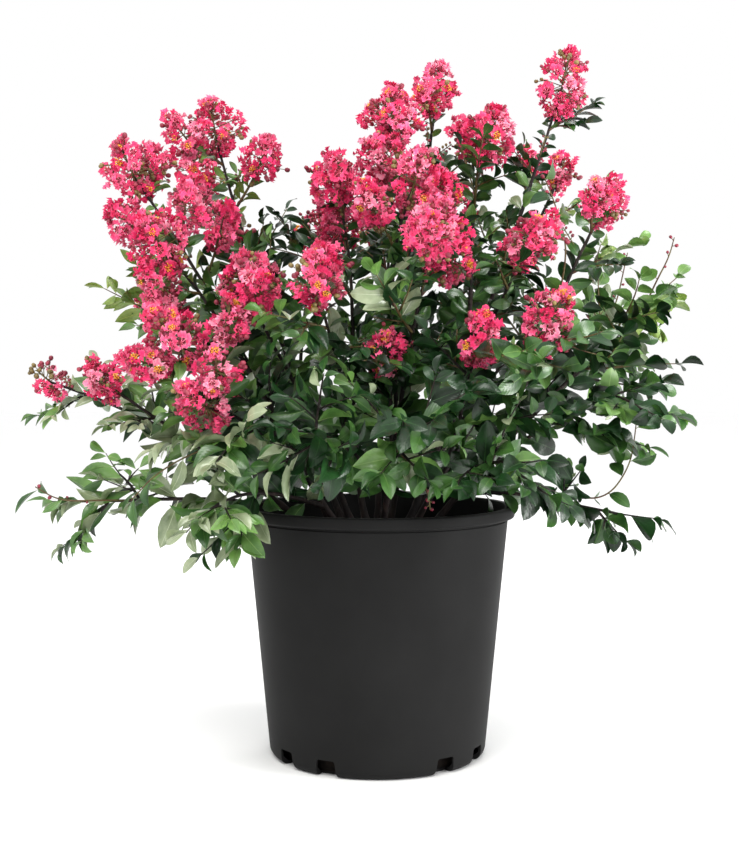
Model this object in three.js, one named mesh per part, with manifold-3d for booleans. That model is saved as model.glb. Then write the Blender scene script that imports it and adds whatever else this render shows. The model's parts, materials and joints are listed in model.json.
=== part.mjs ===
// A dwarf crape myrtle in flower, standing in a black nursery pot.
//
// Millimetres, +Z up. The origin is the middle of the pot's flat underside, and -Y is the front.
// Stems rise from one root crown in the soil and arch outwards. Boughs fork from the stems. Every stem and
// bough ends where it enters a mass: one leader with twigs, leaf sprays and flower heads, fused into one
// solid. Some masses have no bough of their own and grow straight from the side of a stem.

import * as THREE from "three";
import { mergeVertices } from "three/addons/utils/BufferGeometryUtils.js";
import Module from "manifold-3d";

const wasm = await Module();
wasm.setup();

// ---------------------------------------------------------------- driving dimensions

const GAP = 0.3; // clearance between two solids that touch on the real plant

// pot
const POT_HEIGHT = 250;
const RIM_RADIUS = 138;
const RIM_BAND = 11; // height of the rolled lip
const WALL_TOP_RADIUS = 131.5; // outside of the wall, just under the lip
const WALL_FOOT_RADIUS = 108.5; // outside of the wall, at the ground if it had no rounded corner
const WALL = 2.4;
const FLOOR = 3;
const CORNER_RADIUS = 9; // rounding between wall and underside
const ROUND_FACETS = 32;
const DRAIN_HEIGHT = 17;
const DRAIN_WIDTH_LOW = 23;
const DRAIN_WIDTH_HIGH = 19;
const DRAIN_INNER_RADIUS = 95; // the drain holes cut the corner of the pot outside this radius
const DRAIN_PAIRS = 4;
const DRAIN_PAIR_ANGLE = 27; // degrees between the two holes of a pair
const DRAIN_TURN = 49.5; // degrees from the front to the first pair

// soil
const SOIL_TOP = 222;

// limbs
const STEM_FOOT_RADIUS = 3.6;
const NECK_RADIUS = 2.4; // where a limb enters its mass
const BOUGH_FOOT_RADIUS = 2.8;
const LEADER_TIP_RADIUS = 1.6;
const FLARE = 0.5; // extra share of radius at the very foot of a stem
const FLARE_HEIGHT = 9;
const FOOT_DEPTH = 6; // a stem's curve starts this far under the flat cut at the soil
const LIMB_SIDES = 5;
const LIMB_STEPS = 4;

// masses
const LEADER_SITES = [0, 0.33, 0.67, 1]; // a mass's space lies round these shares of its leafy length
const REACH = 2; // how far a space goes beyond its spread, in squares of it
const INTERLOCK = 2500; // how far twigs of neighbours may reach past each other, as a difference of squares
// A piece with no room is tried again at each share of its size, turned these degrees about what carries it.
const TRIES = [1, 0.8, 0.62].flatMap((size) => [0, 50, -50].map((degrees) => [size, degrees]));

// twigs
const TWIG_SPACING = 16; // a leader has one side shoot for each such share of its spread
const TWIG_RISE = 0.75; // under 1, side shoots stand closer towards the leader's tip
const TWIG_RADIUS = 1.6;
const TWIG_ANGLE = 55; // degrees between a leader and its side shoots
const TWIG_LIFT = 0.2; // how much side shoots turn up towards the light
const GOLDEN_ANGLE = 137.5;

// leaf sprays: one blade stands for a spray of real leaves
const SPRAY_LENGTH = 62;
const SPRAY_WIDTH = 0.6; // as a share of its length
const SPRAY_CUP = 0.06; // how far its edges stand up, as a share of its length
const SPRAY_ANGLE = 48; // degrees between a twig and the sprays on its sides
const SIDE_SPRAYS = [0.36, 0.68]; // shares of a twig's length
const BLADE_HALF_THICKNESS = 1.1;

// flower heads
const HEAD_LENGTH = 70; // at the end of a leader
const SIDE_HEAD_LENGTH = 54; // at the end of a side shoot
const HEAD_WIDTH = 0.85; // as a share of its length
const HEAD_SIDES = 5;
const HEAD_PROFILE = [0.72, 1, 0.6]; // share of its full width at each ring, from its foot to its tip

// A stem starts at its foot, a place on the soil. The others fork from a share of their parent's length.
// Each shoot has the point that its leader reaches (crest), the climb of its end in degrees (pitch), the
// share of its length that is bare limb, the size of the space that its twigs may fill (spread), the number
// of its flower heads and their size. A side shoot has no limb: its leader grows from the side of its parent.
const stem = (name, foot, crest, pitch, bare, spread, heads, headSize = 1) => ({
  name, foot, crest, pitch, bare, spread, heads, headSize,
});
const bough = (name, parent, fork, crest, pitch, bare, spread, heads, headSize = 1) => ({
  name, parent, fork, crest, pitch, bare, spread, heads, headSize,
});
const sideShoot = (name, parent, fork, crest, pitch, spread, heads, headSize) =>
  bough(name, parent, fork, crest, pitch, 0, spread, heads, headSize);

const SHOOTS = [
  stem("left_high", [-22, 20], [-167, 40, 628], 76, 0.4, 56, 5),
  stem("left_outer", [-40, 6], [-243, -10, 579], 55, 0.38, 62, 5),
  stem("left_front", [-30, -28], [-183, -110, 408], 30, 0.36, 60, 3),
  stem("left_low", [-54, -12], [-324, -25, 374], 18, 0.4, 38, 1, 0.6),
  stem("centre_left", [-8, 2], [-40, -5, 563], 75, 0.38, 56, 3),
  stem("centre_high", [10, 18], [62, 50, 673], 80, 0.42, 46, 2, 0.8),
  stem("centre_front", [2, -30], [53, -110, 505], 60, 0.38, 58, 3),
  stem("right_high", [26, 4], [188, 30, 671], 72, 0.42, 42, 1, 1.08),
  stem("right_front", [28, -26], [155, -110, 424], 45, 0.36, 58, 1),
  stem("right_outer", [46, -8], [281, 30, 456], 45, 0.4, 62, 0),
  stem("back_left", [-32, 40], [-199, 160, 600], 60, 0.38, 62, 3),
  stem("back_mid", [0, 40], [18, 215, 597], 62, 0.38, 66, 3),
  stem("back_right", [32, 32], [203, 140, 602], 60, 0.38, 60, 2, 0.7),

  bough("left_mid", "left_outer", 0.3, [-205, -72, 500], 40, 0.3, 52, 3),
  bough("centre_top", "centre_high", 0.36, [16, -8, 629], 70, 0.3, 52, 3),
  bough("right_mid", "right_high", 0.34, [112, 20, 616], 70, 0.3, 48, 2),
  bough("right_crest", "right_outer", 0.27, [226, -10, 547], 60, 0.35, 46, 2, 0.75),

  sideShoot("back_inner_left", "back_left", 0.3, [-62, 110, 528], 65, 56, 2),
  sideShoot("back_inner_right", "back_right", 0.3, [82, 115, 556], 65, 56, 2),
  sideShoot("left_inner", "left_high", 0.3, [-121, -80, 459], 55, 50, 2),
  sideShoot("front_left", "centre_left", 0.28, [-55, -122, 458], 50, 48, 2, 0.85),
  sideShoot("front_mid", "centre_front", 0.24, [9, -100, 397], 40, 48, 1, 0.7),
  sideShoot("front_right", "right_front", 0.3, [90, -140, 407], 45, 50, 1, 0.85),
  sideShoot("centre_mid", "centre_front", 0.29, [33, -60, 558], 65, 50, 3),
  sideShoot("right_centre", "right_high", 0.28, [141, -70, 500], 55, 50, 2, 0.85),
  sideShoot("left_reach", "left_low", 0.34, [-259, -72, 372], 35, 36, 1, 0.75),
  sideShoot("left_lip", "left_front", 0.26, [-154, -150, 351], 5, 50, 2, 0.9),
  sideShoot("pot_lip", "left_front", 0.15, [-151, -140, 260], -25, 46, 0),
  sideShoot("left_ground", "left_low", 0.14, [-277, -65, 259], 0, 50, 0),
  sideShoot("front_low_left", "centre_front", 0.14, [-62, -170, 330], 5, 56, 0),
  sideShoot("front_low_mid", "centre_front", 0.19, [21, -172, 334], 15, 54, 0),
  sideShoot("front_low_right", "right_front", 0.2, [119, -160, 303], 0, 54, 0),
  sideShoot("right_low", "right_outer", 0.15, [232, -60, 247], -8, 38, 0),
  sideShoot("right_side", "right_outer", 0.23, [234, -75, 365], 15, 56, 0),
  sideShoot("back_lip_left", "back_mid", 0.13, [-105, 212, 300], 0, 54, 0),
  sideShoot("back_lip_right", "back_right", 0.13, [112, 205, 300], 0, 54, 0),
  sideShoot("back_low_left", "back_left", 0.2, [-174, 150, 348], 10, 62, 1),
  sideShoot("back_low_mid", "back_mid", 0.22, [18, 230, 409], 10, 64, 1),
  sideShoot("back_low_right", "back_right", 0.2, [194, 165, 427], 10, 64, 1),
  sideShoot("back_outer_left", "left_outer", 0.34, [-235, 100, 458], 35, 60, 1),
  sideShoot("back_outer_right", "right_outer", 0.36, [253, 115, 431], 35, 58, 0),
];

// ---------------------------------------------------------------- materials

const finish = (color, roughness) => new THREE.MeshStandardMaterial({ color, roughness, metalness: 0 });
const MATERIALS = {
  pot: finish(0x2b2b2c, 0.55),
  soil: finish(0x1f1712, 0.95),
  bark: finish(0x4a3a31, 0.8),
  leaf: finish(0x35602c, 0.5),
  blossom: finish(0xe23a68, 0.6),
};

// ---------------------------------------------------------------- small tools

const UP = new THREE.Vector3(0, 0, 1);
const radians = THREE.MathUtils.degToRad;
const vector = (point) => new THREE.Vector3(...point);

// Seeded random numbers from 0 to 1: the same seed gives the same plant every time.
function seeded(seed) {
  let state = seed >>> 0;
  return () => {
    state = (state + 0x6d2b79f5) >>> 0;
    let mixed = Math.imul(state ^ (state >>> 15), state | 1);
    mixed ^= mixed + Math.imul(mixed ^ (mixed >>> 7), mixed | 61);
    return ((mixed ^ (mixed >>> 14)) >>> 0) / 4294967296;
  };
}

// A geometry with one vertex where several meet.
function welded(geometry) {
  return mergeVertices(geometry.clone().deleteAttribute("normal").deleteAttribute("uv"), 1e-4);
}

// A closed three.js geometry as a solid that can be joined and cut.
function solidOf(geometry) {
  const merged = welded(geometry);
  return new wasm.Manifold(
    new wasm.Mesh({
      numProp: 3,
      vertProperties: merged.attributes.position.array,
      triVerts: new Uint32Array(merged.index.array),
    }),
  );
}

function geometryOf(solid) {
  const mesh = solid.getMesh();
  const geometry = new THREE.BufferGeometry();
  geometry.setAttribute("position", new THREE.BufferAttribute(mesh.vertProperties, 3));
  geometry.setIndex(new THREE.BufferAttribute(mesh.triVerts, 1));
  geometry.computeVertexNormals();
  return geometry;
}

// The largest body of a fused solid: its loose scraps are dropped and its sealed hollows filled.
function mainBody(solid) {
  const bodies = solid.decompose();
  return bodies.reduce((best, body) => (body.volume() > best.volume() ? body : best));
}

// A unit vector at right angles to direction, as near as possible to wanted.
function squareTo(direction, wanted) {
  const level = wanted.clone().addScaledVector(direction, -wanted.dot(direction));
  if (level.lengthSq() < 0.01) level.set(1, 0, 0).addScaledVector(direction, -direction.x);
  return level.normalize();
}

// A cylinder bent along a stretch of a curve, with its own radius at every share of that stretch.
function taperedLimb(curve, start, end, radiusAt, sides, steps, across) {
  const geometry = new THREE.CylinderGeometry(1, 1, 1, sides, steps);
  const place = geometry.attributes.position;
  const point = new THREE.Vector3();
  for (let i = 0; i < place.count; i++) {
    const share = place.getY(i) + 0.5;
    const t = start + (end - start) * share;
    const tangent = curve.getTangent(t);
    const side = squareTo(tangent, across);
    const third = side.clone().cross(tangent);
    const radius = radiusAt(share);
    curve.getPoint(t, point);
    point.addScaledVector(side, place.getX(i) * radius).addScaledVector(third, place.getZ(i) * radius);
    place.setXYZ(i, point.x, point.y, point.z);
  }
  return solidOf(geometry);
}

// ---------------------------------------------------------------- pot and soil

// Outside radius of the pot's wall at a height.
function wallRadius(height) {
  return WALL_FOOT_RADIUS + ((WALL_TOP_RADIUS - WALL_FOOT_RADIUS) * height) / (POT_HEIGHT - RIM_BAND);
}

// A quarter round between the underside and the wall, as points of a lathe profile.
function cornerArc(centreRadius, centreHeight, radius, points) {
  return Array.from({ length: points + 1 }, (_, i) => {
    const turn = (Math.PI / 2) * (i / points);
    return new THREE.Vector2(centreRadius + radius * Math.sin(turn), centreHeight - radius * Math.cos(turn));
  });
}

// A LatheGeometry turns about Y, so its solid is tipped up to turn about Z.
function latheSolid(profile) {
  const geometry = new THREE.LatheGeometry(profile, ROUND_FACETS);
  geometry.rotateX(Math.PI / 2);
  return solidOf(geometry);
}

function potProfile() {
  const cornerCentre = wallRadius(CORNER_RADIUS) - CORNER_RADIUS;
  const innerCorner = CORNER_RADIUS - WALL;
  const underLip = POT_HEIGHT - RIM_BAND;
  const bevel = 1.2;
  return [
    new THREE.Vector2(0, 0),
    ...cornerArc(cornerCentre, CORNER_RADIUS, CORNER_RADIUS, 3),
    new THREE.Vector2(WALL_TOP_RADIUS, underLip),
    new THREE.Vector2(RIM_RADIUS - bevel, underLip + bevel / 2),
    new THREE.Vector2(RIM_RADIUS, underLip + 2 * bevel),
    new THREE.Vector2(RIM_RADIUS, POT_HEIGHT - bevel),
    new THREE.Vector2(RIM_RADIUS - bevel, POT_HEIGHT),
    new THREE.Vector2(WALL_TOP_RADIUS - WALL + bevel, POT_HEIGHT),
    new THREE.Vector2(WALL_TOP_RADIUS - WALL, underLip),
    ...cornerArc(cornerCentre, CORNER_RADIUS, innerCorner, 1).reverse(),
    new THREE.Vector2(0, FLOOR),
  ];
}

// One drain hole: a trapezium pushed outwards through the corner of the pot.
function drainCutter(angle) {
  const below = -5;
  const outline = new THREE.Shape([
    new THREE.Vector2(-DRAIN_WIDTH_LOW / 2, below),
    new THREE.Vector2(DRAIN_WIDTH_LOW / 2, below),
    new THREE.Vector2(DRAIN_WIDTH_HIGH / 2, DRAIN_HEIGHT),
    new THREE.Vector2(-DRAIN_WIDTH_HIGH / 2, DRAIN_HEIGHT),
  ]);
  const geometry = new THREE.ExtrudeGeometry(outline, { depth: RIM_RADIUS, bevelEnabled: false });
  geometry.translate(0, 0, DRAIN_INNER_RADIUS);
  geometry.rotateX(Math.PI / 2); // the outline stands up, and its depth runs to the front
  geometry.rotateZ(radians(angle));
  return solidOf(geometry);
}

function makePot() {
  let pot = latheSolid(potProfile());
  for (let pair = 0; pair < DRAIN_PAIRS; pair++) {
    const middle = DRAIN_TURN + (pair * 360) / DRAIN_PAIRS;
    pot = pot.subtract(drainCutter(middle - DRAIN_PAIR_ANGLE / 2));
    pot = pot.subtract(drainCutter(middle + DRAIN_PAIR_ANGLE / 2));
  }
  return pot;
}

function makeSoil() {
  const foot = FLOOR + GAP;
  const inner = (height) => wallRadius(height) - WALL - GAP - 0.2;
  const chamfer = CORNER_RADIUS;
  return latheSolid([
    new THREE.Vector2(0, foot),
    new THREE.Vector2(inner(foot) - chamfer, foot),
    new THREE.Vector2(inner(foot + chamfer), foot + chamfer),
    new THREE.Vector2(inner(SOIL_TOP), SOIL_TOP),
    new THREE.Vector2(0, SOIL_TOP),
  ]);
}

// ---------------------------------------------------------------- shoots

const shootNamed = new Map();

// Where on a shoot's curve its leaves begin.
const firstTwig = (shoot) => (shoot.bare ? shoot.bare + 0.04 : 0.42);

// Gives a shoot its curve, from its foot or fork to its crest, and the level direction it leans in.
function layOut(shoot) {
  const crest = vector(shoot.crest);
  const outward = new THREE.Vector3(crest.x, crest.y, 0);
  const reach = outward.length();
  outward.normalize();
  const parent = shootNamed.get(shoot.parent);
  let start;
  let leaving;
  if (parent) {
    start = parent.curve.getPoint(shoot.fork);
    leaving = crest.clone().sub(start).normalize().addScaledVector(parent.curve.getTangent(shoot.fork), 0.4);
  } else {
    start = new THREE.Vector3(...shoot.foot, SOIL_TOP + GAP - FOOT_DEPTH);
    const lean = 0.2 + (0.45 * reach) / (crest.z - SOIL_TOP);
    leaving = UP.clone().addScaledVector(outward, lean);
  }
  const length = start.distanceTo(crest);
  const ending = crest.clone().sub(start).setZ(0).normalize().multiplyScalar(Math.cos(radians(shoot.pitch)));
  ending.z = Math.sin(radians(shoot.pitch));
  shoot.curve = new THREE.CubicBezierCurve3(
    start,
    start.clone().addScaledVector(leaving.normalize(), 0.38 * length),
    crest.clone().addScaledVector(ending, -0.34 * length),
    crest,
  );
  shoot.across = new THREE.Vector3().crossVectors(UP, ending).normalize();
  shoot.length = length;
  const siteAt = (share) => shoot.curve.getPoint(THREE.MathUtils.lerp(firstTwig(shoot), 1, share));
  shoot.sites = LEADER_SITES.map(siteAt);
  shootNamed.set(shoot.name, shoot);
}

// The bare limb of a shoot: flared at the foot of a stem, and cut round its parent where it forks. Grown
// makes it thicker all over, for cutting the limbs that fork from it.
function makeLimb(shoot, grown = 0) {
  const isStem = !shoot.parent;
  const foot = isStem ? STEM_FOOT_RADIUS : BOUGH_FOOT_RADIUS;
  const radiusAt = (share) => {
    const height = share * shoot.bare * shoot.length - FOOT_DEPTH;
    const flare = isStem ? 1 + FLARE * Math.exp(-height / FLARE_HEIGHT) : 1;
    return THREE.MathUtils.lerp(foot, NECK_RADIUS, share) * flare + grown;
  };
  const end = shoot.bare + grown / shoot.length;
  const limb = taperedLimb(shoot.curve, 0, end, radiusAt, LIMB_SIDES, LIMB_STEPS, shoot.across);
  return isStem ? limb.trimByPlane([0, 0, 1], SOIL_TOP + GAP) : cutRoundParent(limb, shoot);
}

function cutRoundParent(solid, shoot) {
  return mainBody(solid.subtract(makeLimb(shootNamed.get(shoot.parent), 2 * GAP)));
}

// The leader of a mass: it starts just above its limb's tip, or at the side of its parent.
function makeLeader(shoot) {
  const start = shoot.bare ? shoot.bare + (1.1 * GAP) / shoot.length : 0;
  const radiusAt = (share) => THREE.MathUtils.lerp(NECK_RADIUS, LEADER_TIP_RADIUS, share);
  const steps = shoot.bare ? 4 : 6;
  const leader = taperedLimb(shoot.curve, start, 1, radiusAt, 3, steps, shoot.across);
  return shoot.bare ? leader : cutRoundParent(leader, shoot);
}

// ---------------------------------------------------------------- growth rule of a mass

// Whether a point lies in a shoot's own space: nearer to the sites along its leader than to those of any
// other mass, with every distance counted from the surface of a ball as large as that mass's spread.
function inOwnSpace(shoot, point) {
  const nearest = (sites) => Math.min(...sites.map((site) => site.distanceToSquared(point)));
  const measure = ({ sites, spread }) => nearest(sites) - spread ** 2;
  const own = measure(shoot);
  const isBeyond = (other) => other === shoot || measure(other) > own - INTERLOCK;
  return own < REACH * shoot.spread ** 2 && SHOOTS.every(isBeyond);
}

// The side shoots of a leader: each stands the golden angle round from the last and is shorter than it.
function twigsOf(shoot) {
  const random = seeded(SHOOTS.indexOf(shoot) * 101 + 7);
  const turn = random() * 360;
  const count = Math.round(shoot.spread / TWIG_SPACING);
  return Array.from({ length: count }, (_, k) => {
    const share = ((k + 0.5) / count) ** TWIG_RISE;
    const t = THREE.MathUtils.lerp(firstTwig(shoot), 0.98, share);
    const tangent = shoot.curve.getTangent(t);
    const side = squareTo(tangent, shoot.across);
    const third = side.clone().cross(tangent);
    const around = radians(turn + k * GOLDEN_ANGLE);
    const radial = side.multiplyScalar(Math.cos(around)).addScaledVector(third, Math.sin(around));
    const heading = tangent
      .multiplyScalar(Math.cos(radians(TWIG_ANGLE)))
      .addScaledVector(radial, Math.sin(radians(TWIG_ANGLE)))
      .addScaledVector(UP, TWIG_LIFT)
      .normalize();
    const normal = squareTo(heading, UP).applyAxisAngle(heading, radians(70 * (random() - 0.5)));
    const length = shoot.spread * (1.05 - 0.3 * share) * (0.85 + 0.3 * random());
    const sprayLengths = [0, ...SIDE_SPRAYS].map(() => SPRAY_LENGTH * (0.8 + 0.4 * random()));
    const root = shoot.curve.getPoint(t);
    return { root, axis: shoot.curve.getTangent(t), heading, normal, length, sprayLengths };
  });
}

// A closed form of few faces along a line. Each ring has its distance along the line, its half width and
// half thickness, and may have a ridge (the distance along of its two thick points) and a lift of its two
// wide ones.
function spindle({ root, heading, normal }, sides, rings, tipAlong, random = () => 0.5) {
  const flank = new THREE.Vector3().crossVectors(normal, heading);
  const geometry = welded(new THREE.SphereGeometry(1, sides, rings.length + 1));
  const place = geometry.attributes.position;
  for (let i = 0; i < place.count; i++) {
    const order = Math.round(((rings.length + 1) * Math.acos(place.getY(i))) / Math.PI);
    const around = Math.atan2(place.getZ(i), place.getX(i));
    const across = Math.cos(around) * (0.8 + 0.4 * random());
    const over = Math.sin(around) * (0.8 + 0.4 * random());
    const end = { along: order ? tipAlong : 0, wide: 0, thick: 0 };
    const { along, wide, thick, ridge = along, lift = 0 } = rings[order - 1] ?? end;
    const point = root
      .clone()
      .addScaledVector(heading, THREE.MathUtils.lerp(along, ridge, Math.abs(over)))
      .addScaledVector(flank, across * wide)
      .addScaledVector(normal, over * thick + Math.abs(across) * lift);
    place.setXYZ(i, point.x, point.y, point.z);
  }
  return solidOf(geometry);
}

// The ring of a blade of the given length that begins some distance along its line.
const bladeRing = (from, length) => ({
  along: from + 0.42 * length,
  ridge: from + 0.16 * length,
  wide: (SPRAY_WIDTH * length) / 2,
  thick: BLADE_HALF_THICKNESS,
  lift: SPRAY_CUP * length,
});

const makeBlade = (spray) => spindle(spray, 4, [bladeRing(0, spray.length)], spray.length);

// A twig or spray at another size, turned about the axis of what carries it.
function changed(piece, size, turn) {
  return {
    ...piece,
    heading: piece.heading.clone().applyAxisAngle(piece.axis, turn),
    normal: piece.normal.clone().applyAxisAngle(piece.axis, turn),
    length: piece.length * size,
    sprayLengths: piece.sprayLengths?.map((length) => length * size),
  };
}

const stalkRing = (along) => ({ along, wide: TWIG_RADIUS, thick: TWIG_RADIUS });
const stalkRings = (length) => [stalkRing(2.5), stalkRing(length)];

// A twig's stalk with a blade at its end.
function makeLeafyTwig(twig) {
  const blade = twig.sprayLengths[0];
  return spindle(twig, 4, [...stalkRings(twig.length), bladeRing(twig.length, blade)], twig.length + blade);
}

// A stalk that ends inside its flower head, and that head.
function makeFloweringTwig(twig, size) {
  const end = twig.root.clone().addScaledVector(twig.heading, twig.length);
  const stalk = spindle(twig, 3, stalkRings(twig.length), twig.length + 5);
  return [stalk, makeHead(end, twig.heading, SIDE_HEAD_LENGTH * size, twig.sprayLengths[0])];
}

// The sprays on the two sides of a twig: their blades start inside its stalk.
function sideSprays(twig) {
  return SIDE_SPRAYS.map((share, i) => ({
    root: twig.root.clone().addScaledVector(twig.heading, twig.length * share),
    axis: twig.heading,
    heading: twig.heading.clone().applyAxisAngle(twig.normal, radians(i % 2 ? SPRAY_ANGLE : -SPRAY_ANGLE)),
    normal: twig.normal,
    length: twig.sprayLengths[i + 1],
  }));
}

// One flower head: a rough cone of blossom round the end of its shoot, widest near its foot.
function makeHead(end, direction, length, seed) {
  const random = seeded(seed * 1e6);
  const heading = direction.clone().addScaledVector(UP, 0.5).normalize();
  const normal = squareTo(heading, new THREE.Vector3(Math.cos(7 * random()), Math.sin(7 * random()), 0));
  const rings = HEAD_PROFILE.map((share, i) => {
    const half = 0.5 * HEAD_WIDTH * length * share;
    const along = (length * (i + 0.8 + 0.4 * random())) / (HEAD_PROFILE.length + 1);
    return { along, wide: half, thick: half };
  });
  const root = end.clone().addScaledVector(heading, -0.38 * length);
  return spindle({ root, heading, normal }, HEAD_SIDES, rings, length, random);
}

function pointsOf(solid) {
  const { vertProperties } = solid.getMesh();
  const pointAt = (_, i) => new THREE.Vector3().fromArray(vertProperties, 3 * i);
  return Array.from({ length: vertProperties.length / 3 }, pointAt);
}

const boxesMeet = (a, b) => [0, 1, 2].every((k) => a.min[k] < b.max[k] + 1 && b.min[k] < a.max[k] + 1);

// Every solid that stands so far, with its box.
const standing = [];

function stand(solid) {
  const piece = { solid, box: solid.boundingBox() };
  standing.push(piece);
  return piece;
}

// Whether a twig, blade or head may stay: inside its own space, and clear of all that stands but what it
// grows from.
function fits(shoot, solid, carriers) {
  if (!pointsOf(solid).every((point) => inOwnSpace(shoot, point))) return false;
  const box = solid.boundingBox();
  return standing.every(
    (other) => !boxesMeet(box, other.box) || carriers.includes(other) || solid.minGap(other.solid, 1) > GAP,
  );
}

// Adds to a mass the pieces of the first try that all fit. Gives that size and turn, or null if none fits.
function addFirst(mass, carriers, make) {
  for (const [size, degrees] of TRIES) {
    const turn = radians(degrees);
    const solids = make(size, turn);
    if (solids.every((solid) => fits(mass.shoot, solid, carriers))) {
      mass.pieces.push(...solids.map(stand));
      return { size, turn };
    }
  }
  return null;
}

// The blossom of a mass: a head at its leader's tip, then its upper twigs with a head on each. A twig that
// finds no room with a head goes back to the leafy ones.
function growBlossom(mass) {
  const { shoot, pieces, leafy, grown } = mass;
  const tip = shoot.curve.getPoint(1);
  const direction = shoot.curve.getTangent(1);
  const carriers = pieces.slice();
  const full = HEAD_LENGTH * shoot.headSize;
  if (addFirst(mass, carriers, (size) => [makeHead(tip, direction, full * size, mass.seed)])) {
    carriers.push(pieces.at(-1));
  }
  const flowering = leafy.splice(leafy.length + 1 - shoot.heads);
  for (const twig of flowering) {
    const make = (size, turn) => makeFloweringTwig(changed(twig, size, turn), size * shoot.headSize);
    const fit = addFirst(mass, carriers, make);
    if (fit) grown.push({ twig: changed(twig, fit.size, fit.turn), stalk: pieces.at(-2) });
    else leafy.push(twig);
  }
}

// The leafy twigs of a mass that fit, and where it has no flower head, the spray at the tip of its leader.
function growTwigs(mass) {
  const { shoot, pieces, leafy, grown } = mass;
  const carriers = pieces.slice(0, shoot.heads ? 2 : 1);
  for (const twig of leafy) {
    const fit = addFirst(mass, carriers, (size, turn) => [makeLeafyTwig(changed(twig, size, turn))]);
    if (fit) grown.push({ twig: changed(twig, fit.size, fit.turn), stalk: pieces.at(-1) });
  }
  if (shoot.heads) return;
  const heading = shoot.curve.getTangent(1);
  const root = shoot.curve.getPoint(1).addScaledVector(heading, -3);
  const spray = { root, axis: heading, heading, normal: squareTo(heading, UP), length: SPRAY_LENGTH };
  addFirst(mass, carriers, (size, turn) => [makeBlade(changed(spray, size, turn))]);
}

// The sprays that fit on the sides of a mass's twigs.
function growSprays(mass) {
  for (const { twig, stalk } of mass.grown) {
    for (const spray of sideSprays(twig)) {
      addFirst(mass, [stalk], (size, turn) => [makeBlade(changed(spray, size, turn))]);
    }
  }
}

// ---------------------------------------------------------------- assembly

const plant = new THREE.Group();

function addNode(name, solid, material) {
  const mesh = new THREE.Mesh(geometryOf(solid), material);
  mesh.name = name;
  plant.add(mesh);
}

SHOOTS.forEach(layOut);
addNode("pot", stand(makePot()).solid, MATERIALS.pot);
addNode("soil", stand(makeSoil()).solid, MATERIALS.soil);
for (const shoot of SHOOTS.filter(({ bare }) => bare)) {
  addNode((shoot.parent ? "bough_" : "stem_") + shoot.name, stand(makeLimb(shoot)).solid, MATERIALS.bark);
}

const masses = SHOOTS.map((shoot, i) => ({
  shoot,
  seed: i / SHOOTS.length,
  pieces: [stand(makeLeader(shoot))],
  leafy: twigsOf(shoot),
  grown: [],
}));
masses.filter(({ shoot }) => shoot.heads).forEach(growBlossom);
masses.forEach(growTwigs);
masses.forEach(growSprays);
for (const { shoot, pieces } of masses) {
  const fused = mainBody(wasm.Manifold.union(pieces.map(({ solid }) => solid)).simplify(0.02));
  if (shoot.heads) addNode("bloom_" + shoot.name, fused, MATERIALS.blossom);
  else addNode("foliage_" + shoot.name, fused, MATERIALS.leaf);
}

export default plant;
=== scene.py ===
# The looks of a dwarf crape myrtle in flower, in a black nursery pot.
#
# The plant grows here by the same seeded rule as its solids, and is then carried on to real leaves, flowers,
# buds and bark. Lengths are in millimetres until a mesh is made, and named angles are in degrees.

import json
import math

import bpy
import numpy as np
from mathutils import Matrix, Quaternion, Vector, noise
from mathutils.bvhtree import BVHTree

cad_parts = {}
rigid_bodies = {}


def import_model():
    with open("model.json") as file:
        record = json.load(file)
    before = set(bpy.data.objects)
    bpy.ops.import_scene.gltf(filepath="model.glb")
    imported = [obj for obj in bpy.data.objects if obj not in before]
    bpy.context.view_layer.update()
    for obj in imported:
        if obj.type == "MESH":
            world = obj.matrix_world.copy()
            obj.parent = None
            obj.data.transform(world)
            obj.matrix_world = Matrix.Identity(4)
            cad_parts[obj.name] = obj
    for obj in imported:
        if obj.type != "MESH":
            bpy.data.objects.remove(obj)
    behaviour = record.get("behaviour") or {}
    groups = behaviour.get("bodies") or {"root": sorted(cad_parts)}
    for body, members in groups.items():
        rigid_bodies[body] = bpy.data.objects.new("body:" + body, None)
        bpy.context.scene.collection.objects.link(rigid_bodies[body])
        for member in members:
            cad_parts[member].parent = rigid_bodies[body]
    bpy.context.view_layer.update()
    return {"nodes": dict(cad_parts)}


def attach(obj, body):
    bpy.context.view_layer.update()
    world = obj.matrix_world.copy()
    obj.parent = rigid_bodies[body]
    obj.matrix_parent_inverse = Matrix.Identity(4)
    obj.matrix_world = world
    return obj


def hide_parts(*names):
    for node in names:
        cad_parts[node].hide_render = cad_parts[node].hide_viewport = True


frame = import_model()

MM = 0.001
UP = Vector((0, 0, 1))
GOLDEN_ANGLE = 137.5
FLOWER_SEED, MASS_SEED, WAND_SEED, CHIP_SEED = 11, 1000, 77, 5

# ---------------------------------------------------------------- sizes shared with the solids

GAP = 0.3
POT_HEIGHT = 250
RIM_RADIUS = 138
RIM_BAND = 11
WALL_TOP_RADIUS = 131.5
WALL_FOOT_RADIUS = 108.5
WALL = 2.4
FLOOR = 3
CORNER_RADIUS = 9
DRAIN_HEIGHT = 17
DRAIN_WIDTH_LOW = 23
DRAIN_WIDTH_HIGH = 19
DRAIN_INNER_RADIUS = 95
DRAIN_PAIRS = 4
DRAIN_PAIR_ANGLE = 27
DRAIN_TURN = 49.5
SOIL_TOP = 222

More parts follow.
